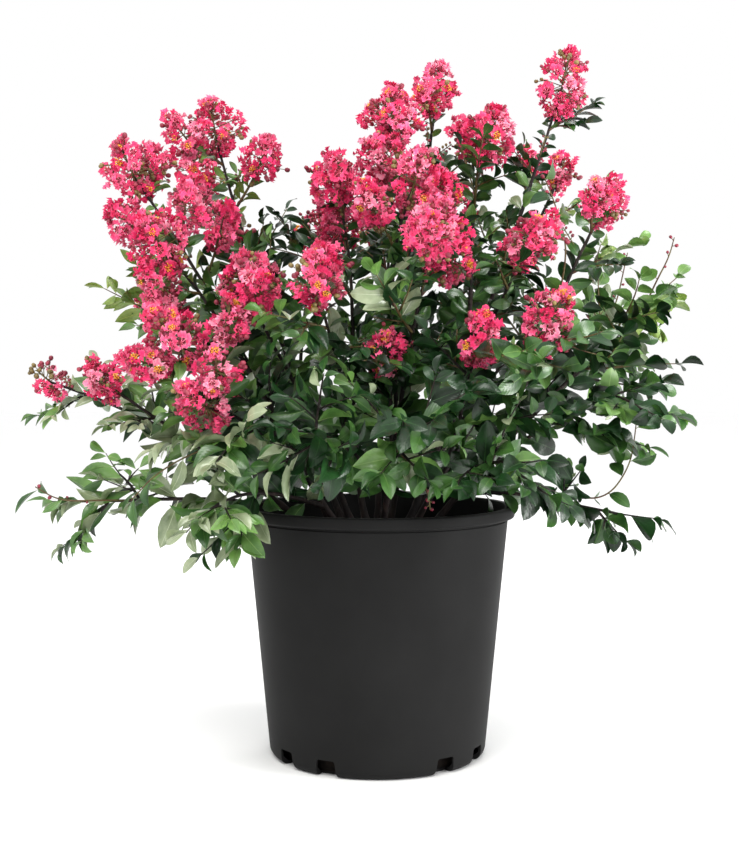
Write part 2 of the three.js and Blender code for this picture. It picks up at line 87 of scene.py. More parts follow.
STEM_FOOT_RADIUS = 3.6
NECK_RADIUS = 2.4
BOUGH_FOOT_RADIUS = 2.8
LEADER_TIP_RADIUS = 1.6
FLARE = 0.5
FLARE_HEIGHT = 9
FOOT_DEPTH = 6
FOOT_LEAN = 0.2
REACH_LEAN = 0.45  # how much more a stem leans at its foot for a crest as far out as it is high
PARENT_PULL = 0.4  # how much a shoot leaves along its parent
LEAVING_HANDLE = 0.38  # of a shoot's curve, as a share of its length
ENDING_HANDLE = 0.34
BARE_MARGIN = 0.04
FIRST_SIDE_TWIG = 0.42
LAST_TWIG = 0.98
TIP_OVERLAP = 3  # how far back from a leader's tip its last spray starts

LEADER_SITES = (0, 0.33, 0.67, 1)  # shares of a leader that its mass keeps near to
REACH = 2  # how far past its spread a mass may reach, in squares of the spread
INTERLOCK = 2500  # how much nearer to another leader a point may lie, by squared distance
TRIES = [(size, turn) for size in (1, 0.8, 0.62) for turn in (0, 50, -50)]
POT_BODY_SIDES = 32
LIMB_SIDES = 5
LIMB_STEPS = 4
LEADER_BODY_SIDES = 3
SIDE_LEADER_STEPS = 6
STALK_SIDES = 3
BLADE_SIDES = 4

TWIG_SPACING = 16
TWIG_RISE = 0.75
TWIG_RADIUS = 1.6
TWIG_ANGLE = 55
TWIG_LIFT = 0.2
TWIG_ROLL = 70
STALK_START, STALK_TIP = 2.5, 5
SPRAY_LENGTH = 62
SPRAY_WIDTH = 0.6
SPRAY_CUP = 0.06
SPRAY_ANGLE = 48
SIDE_SPRAYS = (0.36, 0.68)
BLADE_HALF_THICKNESS = 1.1
BLADE_WIDEST, BLADE_SHOULDER = 0.42, 0.16  # shares of a blade's length
HEAD_LENGTH = 70
SIDE_HEAD_LENGTH = 54
HEAD_WIDTH = 0.85
HEAD_SIDES = 5
HEAD_PROFILE = (0.72, 1, 0.6)
HEAD_LIFT = 0.5
HEAD_BELOW_TIP = 0.38  # the share of a head that lies under the end of its shoot

# Each shoot has its name, its parent, where it starts (a stem on the soil, the others at a share of their
# parent), its crest, the climb of its end, its share of bare limb, the spread of its mass, its number of
# flower heads and their size where that isn't 1.
SHOOTS = [
    ("left_high", None, (-22, 20), (-167, 40, 628), 76, 0.4, 56, 5),
    ("left_outer", None, (-40, 6), (-243, -10, 579), 55, 0.38, 62, 5),
    ("left_front", None, (-30, -28), (-183, -110, 408), 30, 0.36, 60, 3),
    ("left_low", None, (-54, -12), (-324, -25, 374), 18, 0.4, 38, 1, 0.6),
    ("centre_left", None, (-8, 2), (-40, -5, 563), 75, 0.38, 56, 3),
    ("centre_high", None, (10, 18), (62, 50, 673), 80, 0.42, 46, 2, 0.8),
    ("centre_front", None, (2, -30), (53, -110, 505), 60, 0.38, 58, 3),
    ("right_high", None, (26, 4), (188, 30, 671), 72, 0.42, 42, 1, 1.08),
    ("right_front", None, (28, -26), (155, -110, 424), 45, 0.36, 58, 1),
    ("right_outer", None, (46, -8), (281, 30, 456), 45, 0.4, 62, 0),
    ("back_left", None, (-32, 40), (-199, 160, 600), 60, 0.38, 62, 3),
    ("back_mid", None, (0, 40), (18, 215, 597), 62, 0.38, 66, 3),
    ("back_right", None, (32, 32), (203, 140, 602), 60, 0.38, 60, 2, 0.7),
    ("left_mid", "left_outer", 0.3, (-205, -72, 500), 40, 0.3, 52, 3),
    ("centre_top", "centre_high", 0.36, (16, -8, 629), 70, 0.3, 52, 3),
    ("right_mid", "right_high", 0.34, (112, 20, 616), 70, 0.3, 48, 2),
    ("right_crest", "right_outer", 0.27, (226, -10, 547), 60, 0.35, 46, 2, 0.75),
    ("back_inner_left", "back_left", 0.3, (-62, 110, 528), 65, 0, 56, 2),
    ("back_inner_right", "back_right", 0.3, (82, 115, 556), 65, 0, 56, 2),
    ("left_inner", "left_high", 0.3, (-121, -80, 459), 55, 0, 50, 2),
    ("front_left", "centre_left", 0.28, (-55, -122, 458), 50, 0, 48, 2, 0.85),
    ("front_mid", "centre_front", 0.24, (9, -100, 397), 40, 0, 48, 1, 0.7),
    ("front_right", "right_front", 0.3, (90, -140, 407), 45, 0, 50, 1, 0.85),
    ("centre_mid", "centre_front", 0.29, (33, -60, 558), 65, 0, 50, 3),
    ("right_centre", "right_high", 0.28, (141, -70, 500), 55, 0, 50, 2, 0.85),
    ("left_reach", "left_low", 0.34, (-259, -72, 372), 35, 0, 36, 1, 0.75),
    ("left_lip", "left_front", 0.26, (-154, -150, 351), 5, 0, 50, 2, 0.9),
    ("pot_lip", "left_front", 0.15, (-151, -140, 260), -25, 0, 46, 0),
    ("left_ground", "left_low", 0.14, (-277, -65, 259), 0, 0, 50, 0),
    ("front_low_left", "centre_front", 0.14, (-62, -170, 330), 5, 0, 56, 0),
    ("front_low_mid", "centre_front", 0.19, (21, -172, 334), 15, 0, 54, 0),
    ("front_low_right", "right_front", 0.2, (119, -160, 303), 0, 0, 54, 0),
    ("right_low", "right_outer", 0.15, (232, -60, 247), -8, 0, 38, 0),
    ("right_side", "right_outer", 0.23, (234, -75, 365), 15, 0, 56, 0),
    ("back_lip_left", "back_mid", 0.13, (-105, 212, 300), 0, 0, 54, 0),
    ("back_lip_right", "back_right", 0.13, (112, 205, 300), 0, 0, 54, 0),
    ("back_low_left", "back_left", 0.2, (-174, 150, 348), 10, 0, 62, 1),
    ("back_low_mid", "back_mid", 0.22, (18, 230, 409), 10, 0, 64, 1),
    ("back_low_right", "back_right", 0.2, (194, 165, 427), 10, 0, 64, 1),
    ("back_outer_left", "left_outer", 0.34, (-235, 100, 458), 35, 0, 60, 1),
    ("back_outer_right", "right_outer", 0.36, (253, 115, 431), 35, 0, 58, 0),
]


# ---------------------------------------------------------------- the growth rule


def seeded(seed):
    """Seeded random numbers from 0 to 1."""
    word = 0xFFFFFFFF
    state = int(seed) & word

    def draw():
        nonlocal state
        state = (state + 0x6D2B79F5) & word
        mixed = ((state ^ (state >> 15)) * (state | 1)) & word
        mixed ^= (mixed + ((mixed ^ (mixed >> 7)) * (mixed | 61))) & word
        return (mixed ^ (mixed >> 14)) / (word + 1)

    return draw


def lerp(a, b, share):
    return a + (b - a) * share


def turned(vector, axis, degrees):
    return Quaternion(axis, math.radians(degrees)) @ vector


def square_to(direction, wanted):
    """A unit vector at right angles to direction, as near as possible to wanted."""
    level = wanted - direction * wanted.dot(direction)
    if level.length_squared < 0.01:
        level = Vector((1, 0, 0)) - direction * direction.x
    return level.normalized()


class Bezier:
    def __init__(self, a, b, c, d):
        self.a, self.b, self.c, self.d = a, b, c, d

    def point(self, t):
        s = 1 - t
        return self.a * s**3 + self.b * (3 * s * s * t) + self.c * (3 * s * t * t) + self.d * t**3

    def tangent(self, t):
        s = 1 - t
        slope = (self.b - self.a) * (s * s) + (self.c - self.b) * (2 * s * t) + (self.d - self.c) * (t * t)
        return slope.normalized()


class Shoot:
    by_name = {}

    def __init__(self, index, name, parent, start, crest, pitch, bare, spread, heads, head_size=1):
        self.index, self.name, self.bare, self.spread = index, name, bare, spread
        self.heads, self.head_size = heads, head_size
        self.parent = Shoot.by_name.get(parent)
        crest = Vector(crest)
        if self.parent:
            leaving = self.parent.curve.tangent(start) * PARENT_PULL
            start = self.parent.curve.point(start)
            leaving += (crest - start).normalized()
        else:
            start = Vector((*start, SOIL_TOP + GAP - FOOT_DEPTH))
            outward = Vector((crest.x, crest.y, 0))
            lean = FOOT_LEAN + REACH_LEAN * outward.length / (crest.z - SOIL_TOP)
            leaving = UP + outward.normalized() * lean
        self.length = (crest - start).length
        climb = math.radians(pitch)
        ending = Vector((crest.x - start.x, crest.y - start.y, 0)).normalized() * math.cos(climb)
        ending.z = math.sin(climb)
        self.curve = Bezier(
            start,
            start + leaving.normalized() * (LEAVING_HANDLE * self.length),
            crest - ending * (ENDING_HANDLE * self.length),
            crest,
        )
        self.across = UP.cross(ending).normalized()
        self.first_twig = self.bare + BARE_MARGIN if self.bare else FIRST_SIDE_TWIG
        self.sites = [self.curve.point(lerp(self.first_twig, 1, share)) for share in LEADER_SITES]
        Shoot.by_name[name] = self

    def radius(self, t):
        """Radius of the limb and its leader at a share of the curve."""
        if t >= self.bare:
            return lerp(NECK_RADIUS, LEADER_TIP_RADIUS, (t - self.bare) / (1 - self.bare))
        if self.parent:
            return lerp(BOUGH_FOOT_RADIUS, NECK_RADIUS, t / self.bare)
        flare = 1 + FLARE * math.exp(-(t * self.length - FOOT_DEPTH) / FLARE_HEIGHT)
        return lerp(STEM_FOOT_RADIUS, NECK_RADIUS, t / self.bare) * flare

    def directions(self, t):
        """The curve's direction at a share of it, and two at right angles to that."""
        tangent = self.curve.tangent(t)
        side = square_to(tangent, self.across)
        return tangent, side, side.cross(tangent)


shoots = [Shoot(index, *row) for index, row in enumerate(SHOOTS)]
site_points = np.array([[tuple(site) for site in shoot.sites] for shoot in shoots])
spreads = np.array([shoot.spread for shoot in shoots], dtype=float)


def in_own_space(shoot, points):
    """Whether all points lie within reach of a shoot's leader, and not much nearer to another's."""
    offsets = np.array([tuple(point) for point in points])[:, None, None, :] - site_points[None]
    measure = (offsets**2).sum(axis=3).min(axis=2) - spreads**2
    own = measure[:, shoot.index]
    others = np.delete(measure, shoot.index, axis=1)
    return bool((own < REACH * shoot.spread**2).all() and (others > (own - INTERLOCK)[:, None]).all())


def ring_faces(rings, sides):
    """Faces of a form with one point at each end and rings of points between them."""
    faces = []
    top = 1 + (rings - 1) * sides
    for i in range(sides):
        j = (i + 1) % sides
        faces += [(0, 1 + j, 1 + i), (top + i, top + j, top + sides)]
        faces += [(low + i, low + j, low + sides + j, low + sides + i) for low in range(1, top, sides)]
    return faces


class Body:
    """A small closed form that is tested against the others."""

    def __init__(self, points, sides):
        self.points = points
        self.tree = BVHTree.FromPolygons(points, ring_faces((len(points) - 2) // sides, sides))
        self.low = [min(point[k] for point in points) for k in range(3)]
        self.high = [max(point[k] for point in points) for k in range(3)]

    def near(self, other):
        return all(self.low[k] < other.high[k] + 1 and other.low[k] < self.high[k] + 1 for k in range(3))


def spindle(root, heading, normal, sides, rings, tip, draw=lambda: 0.5):
    """A pointed body with rings of (along, wide, thick, ridge, lift) between its root and its tip."""
    flank = normal.cross(heading)
    points = [root.copy()]
    for _ in range(2):
        draw()  # the rule draws for the root too, which doesn't move
    for along, wide, thick, ridge, lift in rings:
        for i in range(sides):
            around = 2 * math.pi * i / sides
            across = -math.cos(around) * (0.8 + 0.4 * draw())
            over = math.sin(around) * (0.8 + 0.4 * draw())
            points.append(
                root
                + heading * lerp(along, ridge, abs(over))
                + flank * (across * wide)
                + normal * (over * thick + abs(across) * lift)
            )
    return Body([*points, root + heading * tip], sides)


def blade_ring(start, length):
    """The ring of a blade that begins some distance along its line."""
    along, ridge = start + BLADE_WIDEST * length, start + BLADE_SHOULDER * length
    return along, SPRAY_WIDTH * length / 2, BLADE_HALF_THICKNESS, ridge, SPRAY_CUP * length


def stalk_rings(length):
    return [(along, TWIG_RADIUS, TWIG_RADIUS, along, 0) for along in (STALK_START, length)]


class Spray:
    """A twig, or a blade that stands for a spray. Its axis is that of what carries it."""

    def __init__(self, root, axis, heading, normal, length, sprays=()):
        self.root, self.axis, self.heading, self.normal = root, axis, heading, normal
        self.length, self.sprays = length, list(sprays)

    def changed(self, size, turn):
        """The same, at a share of its size and turned about what carries it."""
        heading, normal = turned(self.heading, self.axis, turn), turned(self.normal, self.axis, turn)
        sprays = [length * size for length in self.sprays]
        return Spray(self.root, self.axis, heading, normal, self.length * size, sprays)

    def at(self, distance):
        return self.root + self.heading * distance

    def body(self, sides, rings, tip):
        return spindle(self.root, self.heading, self.normal, sides, rings, tip)

    def blade(self):
        return self.body(BLADE_SIDES, [blade_ring(0, self.length)], self.length)

    def leafy(self):
        rings = [*stalk_rings(self.length), blade_ring(self.length, self.sprays[0])]
        return self.body(BLADE_SIDES, rings, self.length + self.sprays[0])

    def stalk(self):
        return self.body(STALK_SIDES, stalk_rings(self.length), self.length + STALK_TIP)

    def side_sprays(self):
        for order, (share, length) in enumerate(zip(SIDE_SPRAYS, self.sprays[1:])):
            heading = turned(self.heading, self.normal, SPRAY_ANGLE if order % 2 else -SPRAY_ANGLE)
            yield Spray(self.at(self.length * share), self.heading, heading, self.normal, length)


class Head:
    """A flower head round the end of a shoot."""

    def __init__(self, end, direction, length, seed):
        draw = seeded(seed * 1e6)
        self.length, self.end = length, end
        self.heading = (direction + UP * HEAD_LIFT).normalized()
        normal = square_to(self.heading, Vector((math.cos(7 * draw()), math.sin(7 * draw()), 0)))
        self.root = end - self.heading * (HEAD_BELOW_TIP * length)
        rings = []
        for i, share in enumerate(HEAD_PROFILE):
            half = 0.5 * HEAD_WIDTH * length * share
            along = length * (i + 0.8 + 0.4 * draw()) / (len(HEAD_PROFILE) + 1)
            rings.append((along, half, half, along, 0))
        self.body = spindle(self.root, self.heading, normal, HEAD_SIDES, rings, length, draw)


def twigs_of(shoot):
    draw = seeded(shoot.index * 101 + 7)
    turn = draw() * 360
    count = math.floor(shoot.spread / TWIG_SPACING + 0.5)
    for k in range(count):
        share = ((k + 0.5) / count) ** TWIG_RISE
        t = lerp(shoot.first_twig, LAST_TWIG, share)
        tangent, side, third = shoot.directions(t)
        around = math.radians(turn + k * GOLDEN_ANGLE)
        radial = side * math.cos(around) + third * math.sin(around)
        angle = math.radians(TWIG_ANGLE)
        heading = (tangent * math.cos(angle) + radial * math.sin(angle) + UP * TWIG_LIFT).normalized()
        normal = turned(square_to(heading, UP), heading, TWIG_ROLL * (draw() - 0.5))
        length = shoot.spread * (1.05 - 0.3 * share) * (0.85 + 0.3 * draw())
        sprays = [SPRAY_LENGTH * (0.8 + 0.4 * draw()) for _ in range(len(SIDE_SPRAYS) + 1)]
        yield Spray(shoot.curve.point(t), tangent, heading, normal, length, sprays)


def limb_body(shoot, start, end, sides, steps):
    points = [shoot.curve.point(start)]
    for step in range(steps + 1):
        t = lerp(start, end, step / steps)
        _, side, third = shoot.directions(t)
        for i in range(sides):
            angle = 2 * math.pi * i / sides
            radial = side * math.sin(angle) + third * math.cos(angle)
            points.append(shoot.curve.point(t) + radial * shoot.radius(t))
    return Body([*points, shoot.curve.point(end)], sides)


def pot_body():
    under_lip = POT_HEIGHT - RIM_BAND
    inner = WALL_TOP_RADIUS - WALL
    profile = [(WALL_FOOT_RADIUS, 0), (WALL_TOP_RADIUS, under_lip), (RIM_RADIUS, under_lip)]
    profile += [(RIM_RADIUS, POT_HEIGHT), (inner, POT_HEIGHT), (inner - 1, SOIL_TOP)]
    rings = [point for radius, height in profile for point in circle(POT_BODY_SIDES, radius, height)]
    return Body([Vector(), *map(Vector, rings), Vector((0, 0, SOIL_TOP))], POT_BODY_SIDES)


class Mass:
    """A leader with its twigs, sprays and heads, each put where it has room."""

    def __init__(self, shoot):
        self.shoot = shoot
        start = shoot.bare + 1.1 * GAP / shoot.length if shoot.bare else 0
        steps = LIMB_STEPS if shoot.bare else SIDE_LEADER_STEPS
        self.bodies = [stand(limb_body(shoot, start, 1, LEADER_BODY_SIDES, steps))]
        self.waiting = list(twigs_of(shoot))
        self.twigs, self.sprays, self.heads = [], [], []

    def add_first(self, carriers, make):
        """Adds the bodies of the first try that all fit, and gives that size and turn, or None."""
        for size, turn in TRIES:
            bodies = make(size, turn)
            if all(self.fits(body, carriers) for body in bodies):
                self.bodies += [stand(body) for body in bodies]
                return size, turn
        return None

    def fits(self, body, carriers):
        if not in_own_space(self.shoot, body.points):
            return False
        return not any(
            body.near(other) and other not in carriers and body.tree.overlap(other.tree) for other in standing
        )

    def side_head(self, twig, size):
        length = SIDE_HEAD_LENGTH * self.shoot.head_size * size
        return Head(twig.at(twig.length), twig.heading, length, twig.sprays[0])

    def stalk_and_head(self, twig, size, turn):
        twig = twig.changed(size, turn)
        return [twig.stalk(), self.side_head(twig, size).body]

    def grow_blossom(self):
        """A head at the leader's tip, and one on each of the last twigs."""
        tip, direction = self.shoot.curve.point(1), self.shoot.curve.tangent(1)
        seed = self.shoot.index / len(shoots)
        carriers = self.bodies[:]
        full = HEAD_LENGTH * self.shoot.head_size
        fit = self.add_first(carriers, lambda size, turn: [Head(tip, direction, full * size, seed).body])
        if fit:
            carriers.append(self.bodies[-1])
            self.heads.append(Head(tip, direction, full * fit[0], seed))
        first = len(self.waiting) + 1 - self.shoot.heads
        flowering, self.waiting = self.waiting[first:], self.waiting[:first]
        for twig in flowering:
            fit = self.add_first(carriers, lambda size, turn: self.stalk_and_head(twig, size, turn))
            if fit:
                self.twigs.append((twig.changed(*fit), self.bodies[-2], True))
                self.heads.append(self.side_head(twig.changed(*fit), fit[0]))
            else:
                self.waiting.append(twig)

    def grow_twigs(self):
        """The leafy twigs, and a spray at the tip of a leader with no head."""
        carriers = self.bodies[: 2 if self.shoot.heads else 1]
        for twig in self.waiting:
            fit = self.add_first(carriers, lambda size, turn: [twig.changed(size, turn).leafy()])
            if fit:
                self.twigs.append((twig.changed(*fit), self.bodies[-1], False))
        if not self.shoot.heads:
            heading = self.shoot.curve.tangent(1)
            root = self.shoot.curve.point(1) - heading * TIP_OVERLAP
            self.grow_spray(carriers, Spray(root, heading, heading, square_to(heading, UP), SPRAY_LENGTH))

    def grow_spray(self, carriers, spray):
        fit = self.add_first(carriers, lambda size, turn: [spray.changed(size, turn).blade()])
        if fit:
            self.sprays.append(spray.changed(*fit))

    def grow_sprays(self):
        for twig, stalk, _ in self.twigs:
            for spray in twig.side_sprays():
                self.grow_spray([stalk], spray)


standing = []


def stand(body):
    standing.append(body)
    return body


def circle(sides, radius, height, turn=0):
    """Points round z, whose radius and height may differ from point to point."""
    angles = 2 * np.pi * np.arange(sides) / sides + math.radians(turn)
    heights = np.broadcast_to(height, sides)
    return np.stack([radius * np.cos(angles), radius * np.sin(angles), heights], axis=-1)


stand(pot_body())
for shoot in shoots:
    if shoot.bare:
        stand(limb_body(shoot, 0, shoot.bare, LIMB_SIDES, LIMB_STEPS))
masses = [Mass(shoot) for shoot in shoots]
for mass in masses:
    if mass.shoot.heads:
        mass.grow_blossom()
for mass in masses:
    mass.grow_twigs()
for mass in masses:
    mass.grow_sprays()

# ---------------------------------------------------------------- forms


class Form:
    """Points, the quads and triangles between them, and the points' places in a pattern."""

    def __init__(self, points, quads, tris, uvs=None):
        self.points = np.asarray(points, dtype=float)
        self.quads = np.asarray(quads, dtype=int).reshape(-1, 4)
        self.tris = np.asarray(tris, dtype=int).reshape(-1, 3)
        self.uvs = np.full((len(self.points), 2), 0.5) if uvs is None else np.asarray(uvs)

    def placed(self, axes, place=(0, 0, 0)):
        """A copy with its x, y and z laid along three vectors from a place."""
        return Form(self.points @ np.asarray(axes) + place, self.quads, self.tris, self.uvs)


def joined(forms):
    """Many forms as one."""
    starts = np.cumsum([0] + [len(form.points) for form in forms])
    return Form(
        np.concatenate([form.points for form in forms]),
        np.concatenate([form.quads + start for form, start in zip(forms, starts)]),
        np.concatenate([form.tris + start for form, start in zip(forms, starts)]),
        np.concatenate([form.uvs for form in forms]),
    )


def mesh_of(name, form):
    corners = np.concatenate([form.quads.ravel(), form.tris.ravel()])
    sizes = np.repeat((4, 3), (len(form.quads), len(form.tris)))
    mesh = bpy.data.meshes.new(name)
    mesh.vertices.add(len(form.points))
    mesh.vertices.foreach_set("co", (form.points * MM).astype(np.float32).ravel())
    mesh.loops.add(len(corners))
    mesh.loops.foreach_set("vertex_index", corners.astype(np.int32))
    mesh.polygons.add(len(sizes))
    mesh.polygons.foreach_set("loop_start", (np.cumsum(sizes) - sizes).astype(np.int32))
    mesh.uv_layers.new(name="UVMap").data.foreach_set("uv", form.uvs[corners].astype(np.float32).ravel())
    mesh.update(calc_edges=True)
    mesh.shade_smooth()
    return mesh


def add_object(name, data):
    made = bpy.data.objects.new(name, data)
    bpy.context.scene.collection.objects.link(made)
    return made


def piece(name, form, paint, slot, nodes):
    """Puts a form in the scene as a piece that stands for CAD nodes."""
    made = add_object(name, mesh_of(name, form))
    made.data.materials.append(paints[paint])
    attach(made, "root")
    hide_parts(*nodes)
    return made


def unit(vectors):
    vectors = np.asarray(vectors, dtype=float)
    return vectors / np.linalg.norm(vectors, axis=-1, keepdims=True)


def squared(direction, wanted):
    """A unit vector at right angles to direction, as near as possible to wanted."""
    return unit(wanted - direction * np.dot(wanted, direction) + 1e-6)


def axes_facing(direction, wanted):
    """Three unit vectors at right angles: one near wanted, one across it, and the direction."""
    side = squared(direction, wanted)
    return np.array((side, np.cross(direction, side), direction))


def grid_quads(rows, columns):
    """Quads between rows of points that lie one after another."""
    return [
        (low, low + 1, low + columns + 1, low + columns)
        for low in range((rows - 1) * columns)
        if (low + 1) % columns
    ]


def closed_form(rings, start, end):
    """A form from rings of points and a point at each end."""
    rings = np.asarray(rings)
    faces = ring_faces(*rings.shape[:2])
    quads, tris = ([face for face in faces if len(face) == corners] for corners in (4, 3))
    return Form([start, *rings.reshape(-1, 3), end], quads, tris)


def tube(path, radii, sides):
    """A closed tube along a path, with a radius at each of its points or several round each."""
    headings = unit(np.gradient(path, axis=0))
    side = squared(headings[0], (0.3, 0.9, 0.2))
    rings = []
    for centre, heading, radius in zip(path, headings, radii):
        axes = axes_facing(heading, side)
        side = axes[0]
        rings.append(centre + circle(sides, radius, 0) @ axes)
    return closed_form(rings, path[0], path[-1])


def ball(sides, rings, ribs=0, peak=0):
    """A round form of radius about 1 round z, which can have six ribs and a raised top."""
    angles = 2 * np.pi * np.arange(sides) / sides
    made = []
    for tilt in np.pi * np.arange(1, rings) / rings:
        height = -math.cos(tilt)
        radius = 1 + ribs * np.cos(6 * angles) + peak * max(0, height) ** 3
        made.append(circle(sides, math.sin(tilt) * radius, height * radius))
    return closed_form(made, (0, 0, -1), (0, 0, 1))


grown = {}  # the forms of each piece of the plant


def add(name, form, axes=None, place=None):
    """Gives a piece a form, or a copy of one laid along three vectors from a place."""
    grown.setdefault(name, []).append(form if axes is None else form.placed(axes, place))


# ---------------------------------------------------------------- leaves

LEAF_STATIONS = (0, 0.08, 0.18, 0.32, 0.5, 0.68, 0.84, 0.94, 1)
LEAF_ACROSS = (-1, -0.55, 0, 0.55, 1)
PETIOLE_SHARE = 0.08
PETIOLE_WIDTH = 0.06
LEAF_LENGTH = 34
SLIM_LEAF, ROUND_LEAF = 0.37, 0.62  # width as a share of length, at the plant's left and right ends
PAIR_SPACING = 12.5
RIGHT_SPACING = 1.36  # how much wider apart pairs are at the right end
LEAF_HEIGHTS = (310, 550)
LEAF_SIZES = (1.14, 0.74)  # at and under the first of these heights, and at and over the second
LEFT_SIZE, RIGHT_SIZE = 1.06, 0.84
LEAF_ANGLE = 52
OUTWARD_LEFT, OUTWARD_RIGHT = 0.35, 0.95
TILT = 0.55
LOW = 320  # under this height leaves droop more
LOW_DROOP, DROOP = 0.42, 0.12
SPRAY_REACH = 0.66  # the share of a spray that its stalk takes

# Of the leaf tones, deep is a darkened copy that is partly painted shade, and sage a pale one that is partly
# painted sheen
TONES = ("deep_shaded", "green", "fresh", "young", "sage_sheen")
TONE_LIMITS = (0.43, 0.61, 0.76)  # the light at which one tone gives way to the next
NEAR_TONES = {
    "deep_shaded": ("green",),
    "green": ("deep_shaded", "deep_shaded", "fresh", "sage_sheen"),
    "fresh": ("green", "sage_sheen"),
    "young": ("fresh",),
    "sage_sheen": ("fresh", "green", "deep_shaded"),
}
KEPT_TONE = 0.74  # share of leaves with the tone of their spray
# A spray's lightness: a share by chance, painted light to the left, at the sides and at the top, and painted
# sheen low on the left
CHANCE_LIGHT, PAINTED_SIDE_LIGHT, PAINTED_TOP_LIGHT, PAINTED_LEFT_LIGHT, PAINTED_LOW_LEFT_SHEEN = 0.58, 0.34, 0.14, 0.08, 0.12
LOW_LEFT = (-120, 380)  # the x and z under which a point is low on the left
SAGE_SHEEN_SHARE = 0.4  # share of the sprays there that are pale sage, a leaf's paler underside and painted sheen
YOUNG_LEAF_HEIGHT = 430  # the height over which leaves can be young

CROWN_CENTRE = np.array((-10.0, 30.0, 420.0))
LEFT_END = -340
RIGHT_END = 310
PAINTED_SHADE_MIDDLE, PAINTED_LIGHT_SIDES = 50, 270  # the x at which the crown's leaves are darkest, as painted shade, and how far from it they are lightest, as painted light
# the heights between which painted light grows towards the crown's top
PAINTED_LIGHT_HEIGHTS = (260, 600)
INSIDE_WALL = 12
CLEAR_LIP = (-90, 112)  # the pot's lip shows between these, and nothing hangs lower before it
CLEAR_LIP_FRONT = -90
CLEAR_LIP_HEIGHT = 268


def leaf_form(widest, fullness, fold, arch, droop, wave, phase):
    """A leaf of length 1 along y and width 1, whose upper face looks along z."""
    points, uvs = [], []
    for along in LEAF_STATIONS:
        share = max(0.0, (along - PETIOLE_SHARE) / (1 - PETIOLE_SHARE))
        half = 0.5 * max(PETIOLE_WIDTH * (1 - 0.7 * share), math.sin(math.pi * share**widest) ** fullness)
        for across in LEAF_ACROSS:
            edge = abs(across) * half
            height = arch * 4 * share * (1 - share) - droop * share * share
            height += fold * edge - 0.5 * fold * edge * abs(across)
            height += wave * abs(across) * math.sin(9 * along + phase + 2 * across)
            points.append((across * half, along, height))
            uvs.append((0.5 + across * half, along))
    return Form(points, grid_quads(len(LEAF_STATIONS), len(LEAF_ACROSS)), (), uvs)


POINTED_LEAVES = [
    leaf_form(1.0, 0.95, 0.5, 0.06, 0.12, 0.010, 0),
    leaf_form(1.1, 0.85, 0.3, 0.03, 0.22, 0.016, 2),
    leaf_form(0.92, 1.02, 0.75, 0.08, 0.05, 0.012, 4),
]
BLUNT_LEAVES = [
    leaf_form(1.12, 0.66, 0.4, 0.02, 0.14, 0.012, 1),
    leaf_form(1.0, 0.6, 0.2, 0.08, 0.22, 0.014, 3),
    leaf_form(1.2, 0.72, 0.8, 0.04, 0.04, 0.008, 5),
]


def share_between(value, low, high):
    """How far a value is from low to high, kept between 0 and 1."""
    return min(1, max(0, (value - low) / (high - low)))


def rightness(point):
    """How far a point is from the plant's left end to its right end."""
    return share_between(point[0], LEFT_END, RIGHT_END)


def over_lip(point):
    """Whether a point hangs low before the part of the pot's lip that shows."""
    before = point[1] < CLEAR_LIP_FRONT and CLEAR_LIP[0] < point[0] < CLEAR_LIP[1]
    return before and point[2] < CLEAR_LIP_HEIGHT


def inside_pot(point):
    """Whether a point lies in the pot or its wall."""
    wall = lerp(WALL_FOOT_RADIUS, RIM_RADIUS, point[2] / POT_HEIGHT)
    distance = math.hypot(point[0], point[1])
    return distance < wall + 1 and point[2] < (SOIL_TOP if distance < wall - INSIDE_WALL else POT_HEIGHT)


def outward(point):
    """How leaves turn out of the crown: those on the left lie flatter than those on the right."""
    return unit(point - CROWN_CENTRE) * lerp(OUTWARD_LEFT, OUTWARD_RIGHT, rightness(point))


def tone_at(point, draw):
    """Tones with painted light and shade: darker ones in the middle and low down as painted shade, lighter
    ones at the sides, the top and the left as painted light, and pale sage ones low on the left as painted
    sheen, all over a share by chance.
    """
    low_left = point[0] < LOW_LEFT[0] and point[2] < LOW_LEFT[1]
    if draw.random() < SAGE_SHEEN_SHARE * low_left:
        return "sage_sheen"
    # Painted light and shade over a share by chance: lighter to the left and low on the left, at the sides
    # and at the top
    light = CHANCE_LIGHT * draw.random() + PAINTED_LEFT_LIGHT * (1 - rightness(point)) + PAINTED_LOW_LEFT_SHEEN * low_left
    light += PAINTED_SIDE_LIGHT * min(1, abs(point[0] - PAINTED_SHADE_MIDDLE) / PAINTED_LIGHT_SIDES) ** 2
    light += PAINTED_TOP_LIGHT * share_between(point[2], *PAINTED_LIGHT_HEIGHTS)
    tone = TONES[int(np.searchsorted(TONE_LIMITS, light))]
    return "fresh" if tone == "young" and point[2] < YOUNG_LEAF_HEIGHT else tone


def varied(tone, draw):
    """The tone of one leaf, now and then a step from that of its spray."""
    if draw.random() < KEPT_TONE:
        return tone
    near = NEAR_TONES[tone]
    return near[int(draw.integers(len(near)))]


def leaf_scale(point):
    """Leaves are large low on the plant and small near its heads and its right end."""
    by_height = lerp(*LEAF_SIZES, share_between(point[2], *LEAF_HEIGHTS))
    return by_height * lerp(LEFT_SIZE, RIGHT_SIZE, rightness(point) ** 2)


def pair_spacing(point):
    return PAIR_SPACING * leaf_scale(point) * lerp(1, RIGHT_SPACING, rightness(point))


